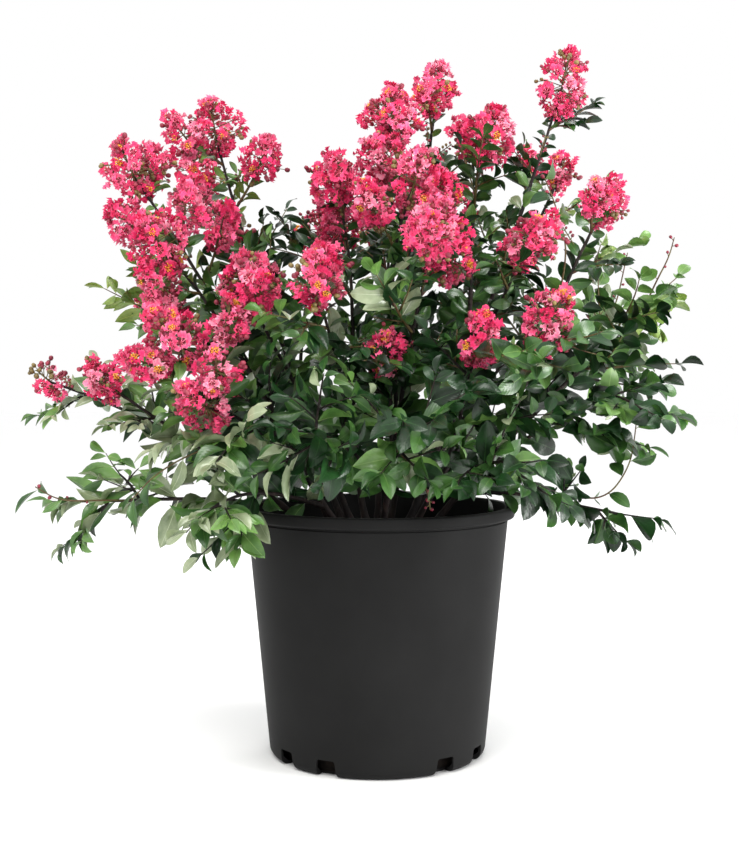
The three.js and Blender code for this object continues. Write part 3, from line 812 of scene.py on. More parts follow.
def add_leaf(tone, root, heading, facing, length, draw):
    """One leaf, rounder towards the right of the plant, unless it would reach the pot or cover its lip."""
    normal = squared(heading, facing)
    right = rightness(root)
    width = lerp(SLIM_LEAF, ROUND_LEAF, right**1.4) * draw.uniform(0.85, 1.15) * length
    if inside_pot(root + heading * length) or inside_pot(root + heading * length / 2):
        return
    if over_lip(root + heading * length):
        return
    forms = BLUNT_LEAVES if draw.random() < 0.1 + 0.9 * right else POINTED_LEAVES
    form = forms[int(draw.integers(len(forms)))]
    axes = (np.cross(heading, normal) * width, heading * length, normal * length)
    add("leaves_" + tone, form, axes, root)


def leaf_pair(tone, node, heading, normal, length, draw, ranks=(-1, 1)):
    """Leaves on either side of a shoot, which turn their faces up and out of the crown."""
    flank = np.cross(heading, normal)
    for rank in ranks:
        angle = math.radians(LEAF_ANGLE + draw.uniform(-14, 14))
        leaving = heading * math.cos(angle) + flank * (rank * math.sin(angle))
        droop = LOW_DROOP if node[2] < LOW else DROOP
        leaving = unit(leaving + draw.normal(0, 0.16, 3) - (0, 0, droop))
        facing = normal + outward(node) + draw.normal(0, TILT, 3)
        add_leaf(varied(tone, draw), node, leaving, facing, length * draw.uniform(0.78, 1.18), draw)


def twig_piece(root):
    return "twigs_young" if root[2] > YOUNG_TWIG_HEIGHT else "twigs_woody"


def leaf_spray(twigs, root, heading, normal, length, tone, draw):
    """A thin stalk with leaves in two ranks and one more at its end."""
    reach = length * SPRAY_REACH
    bend = draw.normal(0, 0.05, 3) * length
    shares = np.linspace(0, 1, 5)
    path = root + heading * (shares * reach)[:, None] + bend * (shares**2)[:, None]
    if over_lip(path[-1]):
        return
    add(twigs, tube(path, np.linspace(1, 0.45, 5), 4))
    pairs = max(2, round(reach / pair_spacing(root)))
    leaf = min(LEAF_LENGTH * leaf_scale(root), length * 0.58)
    for k in range(pairs):
        share = (k + 0.75) / pairs
        node = path[0] + heading * share * reach + bend * share**2
        leaf_pair(tone, node, heading, normal, leaf * (1.1 - 0.45 * share), draw)
    leaving = unit(heading + draw.normal(0, 0.2, 3))
    facing = normal + outward(root) + draw.normal(0, TILT, 3)
    add_leaf(tone, path[-1], leaving, facing, leaf * draw.uniform(0.6, 0.85), draw)


# ---------------------------------------------------------------- blossom

PETALS = 6
PETAL_POINTS = 11
PETAL_SPREAD = 118
PETAL_RINGS = (0.5, 0.8, 1)
CLAW_START, CLAW_LENGTH = 1.2, 5.6
CLAW_HALF_WIDTH = 0.35
CLAW_RISE = 0.3
BLADE_LENGTH = 5.3
FRILL = 2.6
FLOWER_KINDS = 10
ANTHERS = 15
ANTHER_SHARE = 1.4  # its length as a share of its width
CALYX_SIDES = 6
CALYX_RINGS = ((1.9, -3.4), (2.9, -1.2), (3, 0.5))  # radius and height
CALYX_TEETH = (4.6, 1.5)
CALYX_FOOT, CALYX_TOP = -4.8, 0.2
STALK_END = -4.6  # a flower's stalk ends in the foot of its calyx

FLOWER_DENSITY = 0.006  # flowers for each square of a head's length
STAMEN_SHARE = 0.24
GAP_SHARE = 0.08
OPEN_SHARE, BUDDING_SHARE = 0.93, 0.25  # of a head's flowers, in most heads and in those of left_low
CLUSTER_MAROON, SPRIG_MAROON = 0.7, 0.8
BUD_RADIUS = 2.5
BUD_HEIGHT = 1.12  # as a share of its width
HEAD_STALK, SPRIG_STALK, FLOWER_STALK, CLUSTER_STALK, BUD_STALK = 1.1, 0.7, 0.6, 0.6, 0.5  # radii
HEAD_STALK_SHARE = 0.42
SHADED_FOOT = 0.3  # no petals take the light tone, a painted highlight, under this share of a head, whose foot takes painted shade
# Copies of the petal paint: pink and rose by chance, light as a painted highlight and deep as painted shade
PETAL_TONES = ("pink", "rose", "light", "deep_shaded")
PETAL_TONE_LIMITS = (0.42, 0.71, 0.86)


def petal_form(draw):
    """A crinkled round blade on a narrow claw, along y from the flower's middle."""
    angles = np.radians(np.linspace(-PETAL_SPREAD, PETAL_SPREAD, PETAL_POINTS))
    reach = BLADE_LENGTH * draw.uniform(0.74, 1.2, PETAL_POINTS)
    frill = np.where(np.arange(PETAL_POINTS) % 2, 1, -1) * draw.uniform(0.3, 1.3, PETAL_POINTS) * FRILL
    curl = draw.uniform(-0.25, 0.45)
    points = [(across, CLAW_START, 0) for across in (-CLAW_HALF_WIDTH, CLAW_HALF_WIDTH)]
    points += [(across, CLAW_LENGTH, CLAW_RISE) for across in (CLAW_HALF_WIDTH, -CLAW_HALF_WIDTH, 0)]
    uvs = [(0.5, 0)] * 2 + [(0.5, 0.2)] * 3
    for ring in PETAL_RINGS:
        for angle, length, ruffle in zip(angles, reach, frill):
            out = ring * length
            height = CLAW_RISE + curl * out * ring + ruffle * ring**2 + draw.uniform(-0.3, 0.3) * ring
            points.append((out * math.sin(angle) * 0.95, CLAW_LENGTH + out * (0.2 + math.cos(angle)), height))
            uvs.append((0.5 + 0.5 * ring * math.sin(angle), 0.3 + 0.7 * ring))
    fan = [(4, 5 + i + 1, 5 + i) for i in range(PETAL_POINTS - 1)]
    quads = np.array(grid_quads(len(PETAL_RINGS), PETAL_POINTS)) + 5
    return Form(points, [(0, 1, 2, 3), *quads], fan, uvs)


def flower_form(draw):
    """Six petals round a middle at the origin, open along z."""
    petals = []
    for k in range(PETALS):
        around = math.radians(360 / PETALS * k + draw.uniform(-14, 14))
        rise = math.radians(draw.uniform(-8, 66))
        twist = math.radians(draw.uniform(-60, 60))
        flat = math.cos(rise)
        out = np.array((flat * math.cos(around), flat * math.sin(around), math.sin(rise)))
        face = squared(out, (0, 0, 1))
        flank = np.cross(out, face)
        side = flank * math.cos(twist) + face * math.sin(twist)
        size = draw.uniform(0.85, 1.12)
        petals.append(petal_form(draw).placed(np.array((side, out, np.cross(side, out))) * size))
    return joined(petals)


def stamens_form(draw):
    """Thin filaments with an oblong anther each."""
    anther = ball(4, 2).placed(((1, 0, 0), (0, 1, 0), (0, 0, ANTHER_SHARE)))
    forms = []
    for k in range(ANTHERS):
        around = math.radians(GOLDEN_ANGLE * k)
        lean = 1.1 * math.sqrt(k / ANTHERS)
        out = unit((lean * math.cos(around), lean * math.sin(around), 1))
        end = out * draw.uniform(4.6, 7.6)
        axes = axes_facing(out, (1, 0.2, 0))
        half = axes[0] * 0.25
        forms += [Form((-half, half, end + half, end - half), (0, 1, 2, 3), ()), anther.placed(axes, end)]
    return joined(forms)


def calyx_form():
    """A six-sided cup under the flower with six teeth, which opens along z."""
    rings = [circle(CALYX_SIDES, *ring) for ring in CALYX_RINGS]
    cup = closed_form(rings, (0, 0, CALYX_FOOT), (0, 0, CALYX_TOP))
    rim, tips = 1 + (len(CALYX_RINGS) - 1) * CALYX_SIDES, len(cup.points)
    teeth = [(rim + i, rim + (i + 1) % CALYX_SIDES, tips + i) for i in range(CALYX_SIDES)]
    points = [*cup.points, *circle(CALYX_SIDES, *CALYX_TEETH, turn=180 / CALYX_SIDES)]
    return Form(points, cup.quads, [*cup.tris, *teeth])


petal_draw = np.random.default_rng(FLOWER_SEED)
FLOWER_FORMS = [flower_form(petal_draw) for _ in range(FLOWER_KINDS)]
STAMENS_FORM = stamens_form(petal_draw)
CALYX_FORM = calyx_form()
BUD_FORM = ball(7, 4, ribs=0.07, peak=0.12)
STALK_FORM = tube([(0, 0, 0), (0, 0, 1)], (1, 0.85), 3)


def add_stalk(start, end, radius):
    length = np.linalg.norm(end - start)
    axes = axes_facing((end - start) / length, (0.2, 0.9, 0.3))
    add("pedicels", STALK_FORM, axes * ((radius,), (radius,), (length,)), start)


def add_flower(centre, facing, size, tone, draw):
    axes = axes_facing(facing, draw.normal(0, 1, 3)) * size
    add("petals_" + tone, FLOWER_FORMS[int(draw.integers(FLOWER_KINDS))], axes, centre)
    add("calyces", CALYX_FORM, axes, centre)
    if draw.random() < STAMEN_SHARE:
        add("stamens", STAMENS_FORM, axes, centre)


def add_bud(start, centre, radius, tone, draw):
    """A bud a little taller than wide, on a thin stalk."""
    axes = axes_facing(unit(centre - start + draw.normal(0, 0.5, 3)), (0.9, 0.1, 0.3))
    add("buds_" + tone, BUD_FORM, axes * ((radius,), (radius,), (BUD_HEIGHT * radius,)), centre)
    add_stalk(start, centre, BUD_STALK)


def add_bud_cluster(start, place, draw):
    """Two to four round buds at the end of a stalk."""
    fork = start + (place - start) * 0.7
    add_stalk(start, fork, CLUSTER_STALK)
    tone = "maroon" if draw.random() < CLUSTER_MAROON else "olive"
    for _ in range(int(draw.integers(2, 5))):
        centre = place + draw.normal(0, 3.2, 3)
        add_bud(fork, centre, BUD_RADIUS * draw.uniform(0.65, 1.15), tone, draw)


def head_width(share):
    """The head's half width at a share of its length, 1 at its widest."""
    return math.sin(math.pi * share**0.95) ** 1.1


def add_head(head, open_share, draw):
    """Flowers round a middle stalk, with clusters of buds between and below them."""
    length, heading = head.length, np.array(head.heading)
    root, end = np.array(head.root), np.array(head.end)
    side, third, _ = axes_facing(heading, (0.4, 0.8, 0.1))
    add_stalk(end, end + heading * length * HEAD_STALK_SHARE, HEAD_STALK)

    def site(k, count, low, high):
        """The share of the head's length, the place and the outward direction of one site of many."""
        share = lerp(low, high, (k + draw.uniform(0.2, 0.8)) / count)
        around = math.radians(GOLDEN_ANGLE * k + draw.uniform(-18, 18))
        radial = side * math.cos(around) + third * math.sin(around)
        lump = 0.9 + 0.1 * math.sin(2 * around + lumps[0])
        lump += 0.12 * math.sin(3 * around + 9 * share + lumps[1])
        width = HEAD_WIDTH * length / 2 * head_width(share) * lump
        facing = unit(radial * (0.25 + head_width(share)) + heading * 1.5 * (share - 0.4) + (0, 0, 0.25))
        return share, root + heading * (length * share) + radial * width, facing

    lumps = draw.uniform(0, 7, 2)
    count = max(3, round(FLOWER_DENSITY * length * length))
    for k in range(count):
        share, place, facing = site(k, count, 0.06, 0.98)
        size = draw.uniform(0.74, 0.98)
        if draw.random() < GAP_SHARE:
            continue
        facing = unit(facing + draw.normal(0, 0.32, 3))
        centre = place - facing * (draw.uniform(3, 11) * size)
        start = end + heading * (length * max(0.02, 0.55 * (share - 0.35)))
        if draw.random() > open_share:
            add_bud_cluster(start, centre + facing * 3, draw)
            continue
        add_stalk(start, centre + facing * STALK_END * size, FLOWER_STALK)
        tone = PETAL_TONES[int(np.searchsorted(PETAL_TONE_LIMITS, draw.random()))]
        # Painted shade at a head's foot: its lit petals take the shaded tone
        if share < SHADED_FOOT and tone == "light":
            tone = "deep_shaded"
        add_flower(centre, facing, size, tone, draw)
    clusters = 3 + count // 4
    for k in range(clusters):
        share, place, _ = site(k * 3 + 1, 3 * clusters, 0, 0.9)
        add_bud_cluster(end + heading * (length * max(0.01, 0.5 * (share - 0.38))), place, draw)


# ---------------------------------------------------------------- stems and twigs

BARK_SIDES = 14
LEADER_SIDES = 8
TWIG_SIDES = 6
BARK_JOINTS, LEADER_JOINTS = (34, 0.16, 8), (18, 0.14, 4)  # spacing, swelling and width
FIRST_LEAVES, FIRST_SIDE_LEAVES = 0.62, 0.16  # shares of a bare limb, and of a leader without one
WAND_LEAF = 0.8
YOUNG_TWIG_HEIGHT = 380

RIGHT_WAND = [(190, -62, 262), (222, -60, 262), (243, -60, 292), (248, -60, 322), (250, -60, 346)]
# Long thin shoots. Each has the shoot that it leaves, the share that it leaves at, the points that it passes,
# and its numbers of leaves and buds.
WANDS = [
    ("right_low", 0.45, RIGHT_WAND, 7, 0),
    ("right_crest", 0.6, [(186, -34, 500), (178, -40, 530), (169, -40, 557), (161, -40, 575)], 4, 7),
    ("right_outer", 0.97, [(286, 24, 478), (296, 14, 500), (300, 8, 520)], 0, 5),
    ("back_outer_right", 0.95, [(262, 112, 462), (268, 110, 492), (272, 106, 514)], 0, 5),
    ("left_ground", 0.8, [(-268, -84, 262), (-300, -92, 262), (-322, -96, 276)], 5, 4),
    ("left_lip", 0.5, [(-150, -136, 318), (-196, -150, 296), (-222, -152, 268)], 7, 0),
    ("front_low_mid", 0.5, [(34, -116, 292), (46, -116, 274), (48, -114, 256)], 0, 9),
    ("front_low_left", 0.5, [(-36, -122, 306), (-30, -124, 292), (-24, -124, 280)], 6, 0),
]


def limb_line(shoot, start, end, steps):
    """Shares of a shoot's curve, their points, and the radii there."""
    shares = np.linspace(start, end, steps)
    path = np.array([tuple(shoot.curve.point(t)) for t in shares])
    return shares, path, np.array([shoot.radius(t) for t in shares])


def joints(along, spacing, swelling, width):
    """The girth of a limb that swells at even joints."""
    return 1 + swelling * np.exp(-((along % spacing - spacing / 2) ** 2) / width)


def bark_tube(shoot, draw):
    """A limb with lengthwise ridges, swollen joints and an uneven girth."""
    steps = max(12, round(shoot.bare * shoot.length / 4))
    shares, path, radii = limb_line(shoot, 0, shoot.bare + 0.01, steps)
    angles = 2 * np.pi * np.arange(BARK_SIDES) / BARK_SIDES
    ridges = np.cos(4 * angles + draw.uniform(0, 6)) * 0.05 + np.cos(7 * angles + draw.uniform(0, 6)) * 0.03
    along = shares[:, None] * shoot.length
    girth = joints(along, *BARK_JOINTS) + ridges * (1 + 0.5 * np.sin(along / 9))
    girth += draw.normal(0, 0.025, (steps, BARK_SIDES))
    path += draw.normal(0, 0.12, path.shape)
    return tube(path, radii[:, None] * girth, BARK_SIDES)


def leader_tube(shoot, draw):
    steps = max(10, round((1 - shoot.bare) * shoot.length / 9))
    shares, path, radii = limb_line(shoot, max(0, shoot.bare - 0.01), 1, steps)
    girth = joints(shares * shoot.length, *LEADER_JOINTS) * np.linspace(1, 0.8, steps)
    path += draw.normal(0, 0.15, path.shape)
    return tube(path, radii * girth, LEADER_SIDES)


def grow_leader(shoot, draw):
    """Pairs of leaves along a leader and the end of its limb, each pair turned its own way."""
    low = FIRST_LEAVES * shoot.bare if shoot.bare else FIRST_SIDE_LEAVES
    last = 1 - (0.5 * HEAD_LENGTH * shoot.head_size / shoot.length if shoot.heads else 0)
    t = low
    while t < last:
        node, heading = np.array(shoot.curve.point(t)), np.array(shoot.curve.tangent(t))
        normal = squared(heading, draw.normal(0, 1, 3) + (0, 0, 0.8))
        share = (t - low) / (last - low)
        size = LEAF_LENGTH * leaf_scale(node) * lerp(1.1, 0.55 if shoot.heads else 0.85, share**3)
        leaf_pair(tone_at(node, draw), node, heading, normal, size, draw)
        t += pair_spacing(node) * draw.uniform(0.8, 1.2) / shoot.length


def grow_twig(twig, flowering, draw):
    """A twig's stalk with its pairs of leaves, and the spray that ends a leafy one."""
    root, heading, normal = (np.array(vector) for vector in (twig.root, twig.heading, twig.normal))
    shares = np.linspace(0, 1, 7)
    bend = draw.normal(0, 0.02, 3) * twig.length
    path = root + heading * (shares * twig.length)[:, None] + bend * np.sin(np.pi * shares)[:, None]
    if over_lip(path[-1]):
        return
    add(twig_piece(root), tube(path, np.linspace(TWIG_RADIUS, 1, 7), TWIG_SIDES))
    tone = tone_at(path[-1], draw)
    last = max(0.4, 1 - 0.42 * SIDE_HEAD_LENGTH / twig.length) if flowering else 0.95
    scale = leaf_scale(root)
    pairs = max(1, round(twig.length * last / pair_spacing(root)))
    for k in range(pairs):
        share = lerp(0.12, last, (k + 0.5) / pairs)
        node = root + heading * (share * twig.length) + bend * math.sin(math.pi * share)
        size = LEAF_LENGTH * scale * (lerp(1, 0.55, share) if flowering else 1)
        leaf_pair(tone, node, heading, normal, size, draw)
    if not flowering:
        leaf_spray(twig_piece(root), path[-1], heading, normal, twig.sprays[0], tone, draw)


def bud_sprig(root, heading, length, draw):
    """A thin stalk with round buds in pairs along its outer half."""
    flank = squared(heading, draw.normal(0, 1, 3))
    end = root + heading * length + draw.normal(0, 0.08, 3) * length
    add_stalk(root, end, SPRIG_STALK)
    pairs = max(3, round(length / 9))
    for k in range(pairs):
        share = lerp(0.4, 1, (k + 0.5) / pairs)
        node = root + (end - root) * share
        for rank in (-1, 1):
            out = unit(flank * rank + heading * 0.7 + draw.normal(0, 0.25, 3))
            radius = BUD_RADIUS * lerp(0.8, 0.45, share) * draw.uniform(0.8, 1.2)
            tone = "maroon" if draw.random() < SPRIG_MAROON else "olive"
            add_bud(node, node + out * (radius + lerp(4, 1.5, share)), radius, tone, draw)


def smooth(points):
    """Points along a line with its corners rounded off."""
    points = np.array(points, dtype=float)
    for _ in range(3):
        near, far = points[:-1] * 0.75 + points[1:] * 0.25, points[:-1] * 0.25 + points[1:] * 0.75
        points = np.concatenate([points[:1], np.stack([near, far], axis=1).reshape(-1, 3), points[-1:]])
    return points


def grow_wand(shoot, share, points, leaves, buds, draw):
    path = smooth([tuple(shoot.curve.point(share)), *points])
    add("twigs_young", tube(path, np.linspace(1.1, 0.5, len(path)), 5))

    def sites(count, low):
        """Places along the wand, the directions there, a normal, and -1 or 1 in turn."""
        for k in range(count):
            index = round(lerp(low, 0.97, (k + 0.5) / count) * (len(path) - 2))
            heading = unit(path[index + 1] - path[index])
            yield path[index], heading, squared(heading, (0.1, -0.5, 0.9)), (-1, 1)[k % 2]

    for node, heading, normal, rank in sites(leaves, 0.3):
        leaf_pair("green", node, heading, normal, WAND_LEAF * LEAF_LENGTH, draw, [rank])
    for node, heading, normal, rank in sites(buds, 0.35):
        out = unit(np.cross(heading, normal) * rank + heading * 0.5 + draw.normal(0, 0.3, 3))
        add_bud(node, node + out * draw.uniform(3, 6), draw.uniform(1.2, 2.2), "maroon", draw)


def dress_mass(mass, draw):
    """A shoot's limb and leader, and the leaves, twigs, sprays, bud sprigs and heads of its mass."""
    shoot = mass.shoot
    if shoot.bare:
        add("boughs_bark" if shoot.parent else "stems_bark", bark_tube(shoot, draw))
    add("twigs_woody", leader_tube(shoot, draw))
    grow_leader(shoot, draw)
    for twig, _, flowering in mass.twigs:
        grow_twig(twig, flowering, draw)
    for spray in mass.sprays:
        root, heading, normal = (np.array(vector) for vector in (spray.root, spray.heading, spray.normal))
        leaf_spray(twig_piece(root), root, heading, normal, spray.length, tone_at(root, draw), draw)
    if shoot.heads:
        for t in draw.uniform(0.8, 0.93, 2):
            heading = np.array(shoot.curve.tangent(t)) + draw.normal(0, 0.55, 3) + (0, 0, 0.3)
            bud_sprig(np.array(shoot.curve.point(t)), unit(heading), draw.uniform(26, 42), draw)
    for head in mass.heads:
        add_head(head, BUDDING_SHARE if shoot.name == "left_low" else OPEN_SHARE, draw)


def nodes_named(*starts):
    return [name for name in frame["nodes"] if name.startswith(starts)]


def make_plant():
    for mass in masses:
        dress_mass(mass, np.random.default_rng(MASS_SEED + mass.shoot.index))
    draw = np.random.default_rng(WAND_SEED)
    for name, *wand in WANDS:
        grow_wand(Shoot.by_name[name], *wand, draw)
    crown, flowering = sorted(nodes_named("bloom_", "foliage_")), sorted(nodes_named("bloom_"))
    rows = [
        ("stems_bark", "bark", "bark", nodes_named("stem_")),
        ("boughs_bark", "bark", "bark", nodes_named("bough_")),
        ("twigs_woody", "bark", "bark", crown),
        ("twigs_young", "young_shoots", "leaf", crown),
        *[("leaves_" + tone, "leaf_" + tone, "leaf", crown) for tone in TONES],
        *[("petals_" + tone, "petal_" + tone, "blossom", flowering) for tone in PETAL_TONES],
        ("stamens", "stamens", "blossom", flowering),
        ("calyces", "calyces", "leaf", flowering),
        ("buds_maroon", "buds_maroon", "blossom", flowering),
        ("buds_olive", "buds_olive", "leaf", flowering),
        ("pedicels", "pedicels", "leaf", flowering),
    ]
    for name, paint, slot, nodes in rows:
        piece(name, joined(grown[name]), paint, slot, nodes)


# ---------------------------------------------------------------- pot and soil

POT_SEGMENTS = 160
GROOVE = 1.4
LIP_ROUND = 2.2
SHARP_EDGE = 32
DRAIN_CORNER = 1.5
SOIL_GAP = 0.3
SOIL_RINGS = 34
SOIL_SEGMENTS = 120
SOIL_ROUGHNESS = 1.6
CHIPS = 600
CHIP_SIZES = ((2, 6), (1, 2.6), (0.5, 1.3))  # half of its length, width and thickness


def wall_radius(height):
    return lerp(WALL_FOOT_RADIUS, WALL_TOP_RADIUS, height / (POT_HEIGHT - RIM_BAND))


def arc(x, z, radius, start, end, steps):
    """Points of a round outline between two turns from straight out."""
    turns = np.radians(np.linspace(start, end, steps))
    return [(x + radius * math.cos(turn), z + radius * math.sin(turn)) for turn in turns]


def pot_outline():
    """The pot's section: its foot, wall, the groove under its rolled lip, the lip, inside wall and floor."""
    corner = wall_radius(CORNER_RADIUS) - CORNER_RADIUS
    under_lip, lip_top = POT_HEIGHT - RIM_BAND, POT_HEIGHT - LIP_ROUND
    lip_out, lip_in = RIM_RADIUS - LIP_ROUND, WALL_TOP_RADIUS - WALL + LIP_ROUND
    groove = WALL_TOP_RADIUS - GROOVE
    return [
        *[(radius, 0) for radius in (20, 60, corner - 8)],
        *arc(corner, CORNER_RADIUS, CORNER_RADIUS, -90, 0, 8),
        *[(wall_radius(height), height) for height in (20, 60, 120, 180, 225, under_lip - 4, under_lip - 3)],
        *[(groove, under_lip - 2.4), (groove, under_lip)],
        *arc(lip_out, under_lip + LIP_ROUND, LIP_ROUND, -80, 0, 5),
        *arc(lip_out, lip_top, LIP_ROUND, 10, 90, 6),
        *arc(lip_in, lip_top, LIP_ROUND, 100, 180, 5),
        *[(wall_radius(height) - WALL, height) for height in (under_lip - 4, 180, 100, CORNER_RADIUS)],
        *[(radius, FLOOR) for radius in (corner, 60, 20)],
    ]


def drain_form(degrees):
    """A tapered block that cuts one drain hole through the pot's lower corner."""
    low, high = DRAIN_WIDTH_LOW / 2, DRAIN_WIDTH_HIGH / 2
    half = [(low, -5), (high, DRAIN_HEIGHT - DRAIN_CORNER), (high - DRAIN_CORNER, DRAIN_HEIGHT)]
    outline = half + [(-across, height) for across, height in reversed(half)]
    distances = (-DRAIN_INNER_RADIUS, -RIM_RADIUS)
    rings = [[(across, distance, height) for across, height in outline] for distance in distances]
    block = closed_form(rings, *[(0, distance, DRAIN_HEIGHT / 2) for distance in distances])
    cos, sin = math.cos(math.radians(degrees)), math.sin(math.radians(degrees))
    return block.placed(((cos, sin, 0), (-sin, cos, 0), (0, 0, 1)))


def cut(made, form):
    """Cuts closed forms out of a mesh object."""
    tool = add_object("cutters", mesh_of("cutters", form))
    boolean = made.modifiers.new("drain", "BOOLEAN")
    boolean.object = tool
    boolean.operation = "DIFFERENCE"
    boolean.solver = "EXACT"
    graph = bpy.context.evaluated_depsgraph_get()
    mesh = bpy.data.meshes.new_from_object(made.evaluated_get(graph))
    made.modifiers.clear()
    made.data = mesh
    bpy.data.objects.remove(tool)


def make_pot():
    rings = [circle(POT_SEGMENTS, *point) for point in pot_outline()]
    shell = closed_form(rings, (0, 0, 0), (0, 0, FLOOR))
    made = piece("nursery_pot", shell, "charcoal_plastic", "pot", ["pot"])
    middles = DRAIN_TURN + 360 / DRAIN_PAIRS * np.arange(DRAIN_PAIRS)
    turns = [middle + side * DRAIN_PAIR_ANGLE / 2 for middle in middles for side in (-1, 1)]
    cut(made, joined([drain_form(turn) for turn in turns]))
    made.data.shade_smooth()
    made.data.set_sharp_from_angle(angle=math.radians(SHARP_EDGE))


def soil_height(x, y):
    place = Vector((x, y, 0))
    return SOIL_TOP - 1.5 + SOIL_ROUGHNESS * (noise.noise(place / 9) + 0.6 * noise.noise(place / 3.5))


def make_soil():
    """A plug of potting mix with a rough top, and chips of bark lying on it."""
    rim = wall_radius(SOIL_TOP) - WALL - SOIL_GAP
    foot = FLOOR + SOIL_GAP
    rings = [circle(SOIL_SEGMENTS, wall_radius(FLOOR) - WALL - CORNER_RADIUS, foot)]
    for share in np.arange(SOIL_RINGS, 0, -1) / SOIL_RINGS:
        ring = circle(SOIL_SEGMENTS, rim * share, 0)
        ring[:, 2] = [soil_height(x, y) for x, y, _ in ring]
        rings.append(ring)
    plug = closed_form(rings, (0, 0, foot), (0, 0, soil_height(0, 0)))
    piece("potting_mix", plug, "potting_mix", "soil", ["soil"])

    draw = np.random.default_rng(CHIP_SEED)
    chip, chips = ball(6, 4), []
    for _ in range(CHIPS):
        radius = (rim - 5) * math.sqrt(draw.random())
        around = draw.uniform(0, 2 * math.pi)
        x, y = radius * math.cos(around), radius * math.sin(around)
        up = unit(draw.normal(0, 0.3, 3) + (0, 0, 1))
        axes = axes_facing(up, draw.normal(0, 1, 3)) * [(draw.uniform(*span),) for span in CHIP_SIZES]
        chips.append(chip.placed(axes, (x, y, soil_height(x, y) + 0.4)))
    piece("bark_chips", joined(chips), "bark_chips", "soil", ["soil"])


# ---------------------------------------------------------------- materials

# The tone, the dark and light of the blade, the midrib, and the gloss. The deep tone is darkened as painted
# shade, and the sage one is pale as a leaf's underside and as painted sheen.
LEAF_PAINTS = [
    ("deep_shaded", "#0D220E", "#1D421D", "#47703E", 0.42),
    ("green", "#25481E", "#436C2E", "#7A9A56", 0.6),
    ("fresh", "#487032", "#719B4A", "#AAC47C", 0.7),
    ("young", "#64863A", "#94AC54", "#CDBC7C", 0.6),
    ("sage_sheen", "#687A52", "#A6B28E", "#D8E0C2", 0.9),
]
# The tone, the claw, the folds, darker as painted shade, the blade, and its edge, paler as a painted
# highlight. The light tone is a lit copy and the deep one a shaded copy.
PETAL_PAINTS = [
    ("pink", "#FFC0CE", "#F03C74", "#FF5088", "#FF90B2"),
    ("rose", "#FAA8BC", "#E82C64", "#FF3A78", "#FF6E9A"),
    ("light", "#FFD0DA", "#FA5A8C", "#FF7CA4", "#FFBCCE"),
    ("deep_shaded", "#EA7490", "#D42458", "#F0306E", "#F85084"),
]
# The name, the dark and light, the fineness of the pattern, the roughness and, where it isn't 0.3, the bump.
PLAIN_PAINTS = [
    ("stamens", "#F09C24", "#FCD858", 300, 0.6),
    ("calyces", "#942440", "#B84858", 120, 0.55),
    ("buds_maroon", "#701C30", "#A83C50", 130, 0.45),
    ("buds_olive", "#5A4C2C", "#96824C", 130, 0.45),
    ("pedicels", "#5C3A2C", "#7D7A44", 90, 0.6),
    ("young_shoots", "#52301F", "#666034", 60, 0.55),
    ("bark_chips", "#1A1210", "#4A362A", 90, 0.9, 0.8),
]

paints = {}  # the materials by name


def colour(code):
    """A linear colour from a hexadecimal one."""
    parts = np.array([int(code[k : k + 2], 16) / 255 for k in (1, 3, 5)])
    return (*np.where(parts <= 0.04045, parts / 12.92, ((parts + 0.055) / 1.055) ** 2.4), 1)


class Paint:
    """A Principled material with patterns in the object's own space and along its leaves and petals."""

    def __init__(self, name, **sockets):
        self.name = name
        self.material = bpy.data.materials.new(name)
        self.material.use_nodes = True
        self.tree = self.material.node_tree
        self.shader = self.tree.nodes["Principled BSDF"]
        for socket, value in sockets.items():
            self.shader.inputs[socket.replace("_", " ")].default_value = value
        self.place = self.tree.nodes.new("ShaderNodeTexCoord")

    def node(self, kind, **settings):
        made = self.tree.nodes.new("ShaderNode" + kind)
        for name, value in settings.items():
            if name in made.bl_rna.properties:
                setattr(made, name, value)
            else:
                made.inputs[name.replace("_", " ")].default_value = value
        return made

    def link(self, out, into):
        self.tree.links.new(out, into)

    def noise(self, scale, detail=3, stretch=None):
        texture = self.node("TexNoise", Scale=scale, Detail=detail)
        source = self.place.outputs["Object"]
        if stretch:
            mapping = self.node("Mapping", Scale=stretch)
            self.link(source, mapping.inputs["Vector"])
            source = mapping.outputs["Vector"]
        self.link(source, texture.inputs["Vector"])
        return texture.outputs["Fac"]

    def ramp(self, source, *stops):
        """Colours at shares of a source that runs from 0 to 1."""
        ramp = self.node("ValToRGB")
        elements = ramp.color_ramp.elements
        while len(elements) < len(stops):
            elements.new(0.5)
        for element, (share, code) in zip(elements, stops):
            element.position = share
            element.color = colour(code)
        self.link(source, ramp.inputs["Fac"])
        return ramp.outputs["Color"]

    def blend(self, factor, first, second):
        mix = self.node("Mix", data_type="RGBA")
        for source, socket in zip((factor, first, second), ("Factor", "A", "B")):
            self.link(source, mix.inputs[socket])
        return mix.outputs["Result"]

    def math(self, operation, first, second=0.0):
        made = self.node("Math", operation=operation)
        for source, socket in zip((first, second), made.inputs):
            if isinstance(source, (int, float)):
                socket.default_value = source
            else:
                self.link(source, socket)
        return made.outputs["Value"]

    def across(self):
        """How far a point is from the middle line of its pattern, and how far along it."""
        split = self.node("SeparateXYZ")
        self.link(self.place.outputs["UV"], split.inputs["Vector"])
        side = self.math("ABSOLUTE", self.math("SUBTRACT", split.outputs["X"], 0.5))
        return side, split.outputs["Y"]

    def bump(self, height, strength, distance):
        made = self.node("Bump", Strength=strength, Distance=distance)
        self.link(height, made.inputs["Height"])
        self.link(made.outputs["Normal"], self.shader.inputs["Normal"])

    def finish(self, base):
        self.link(base, self.shader.inputs["Base Color"])
        paints[self.name] = self.material


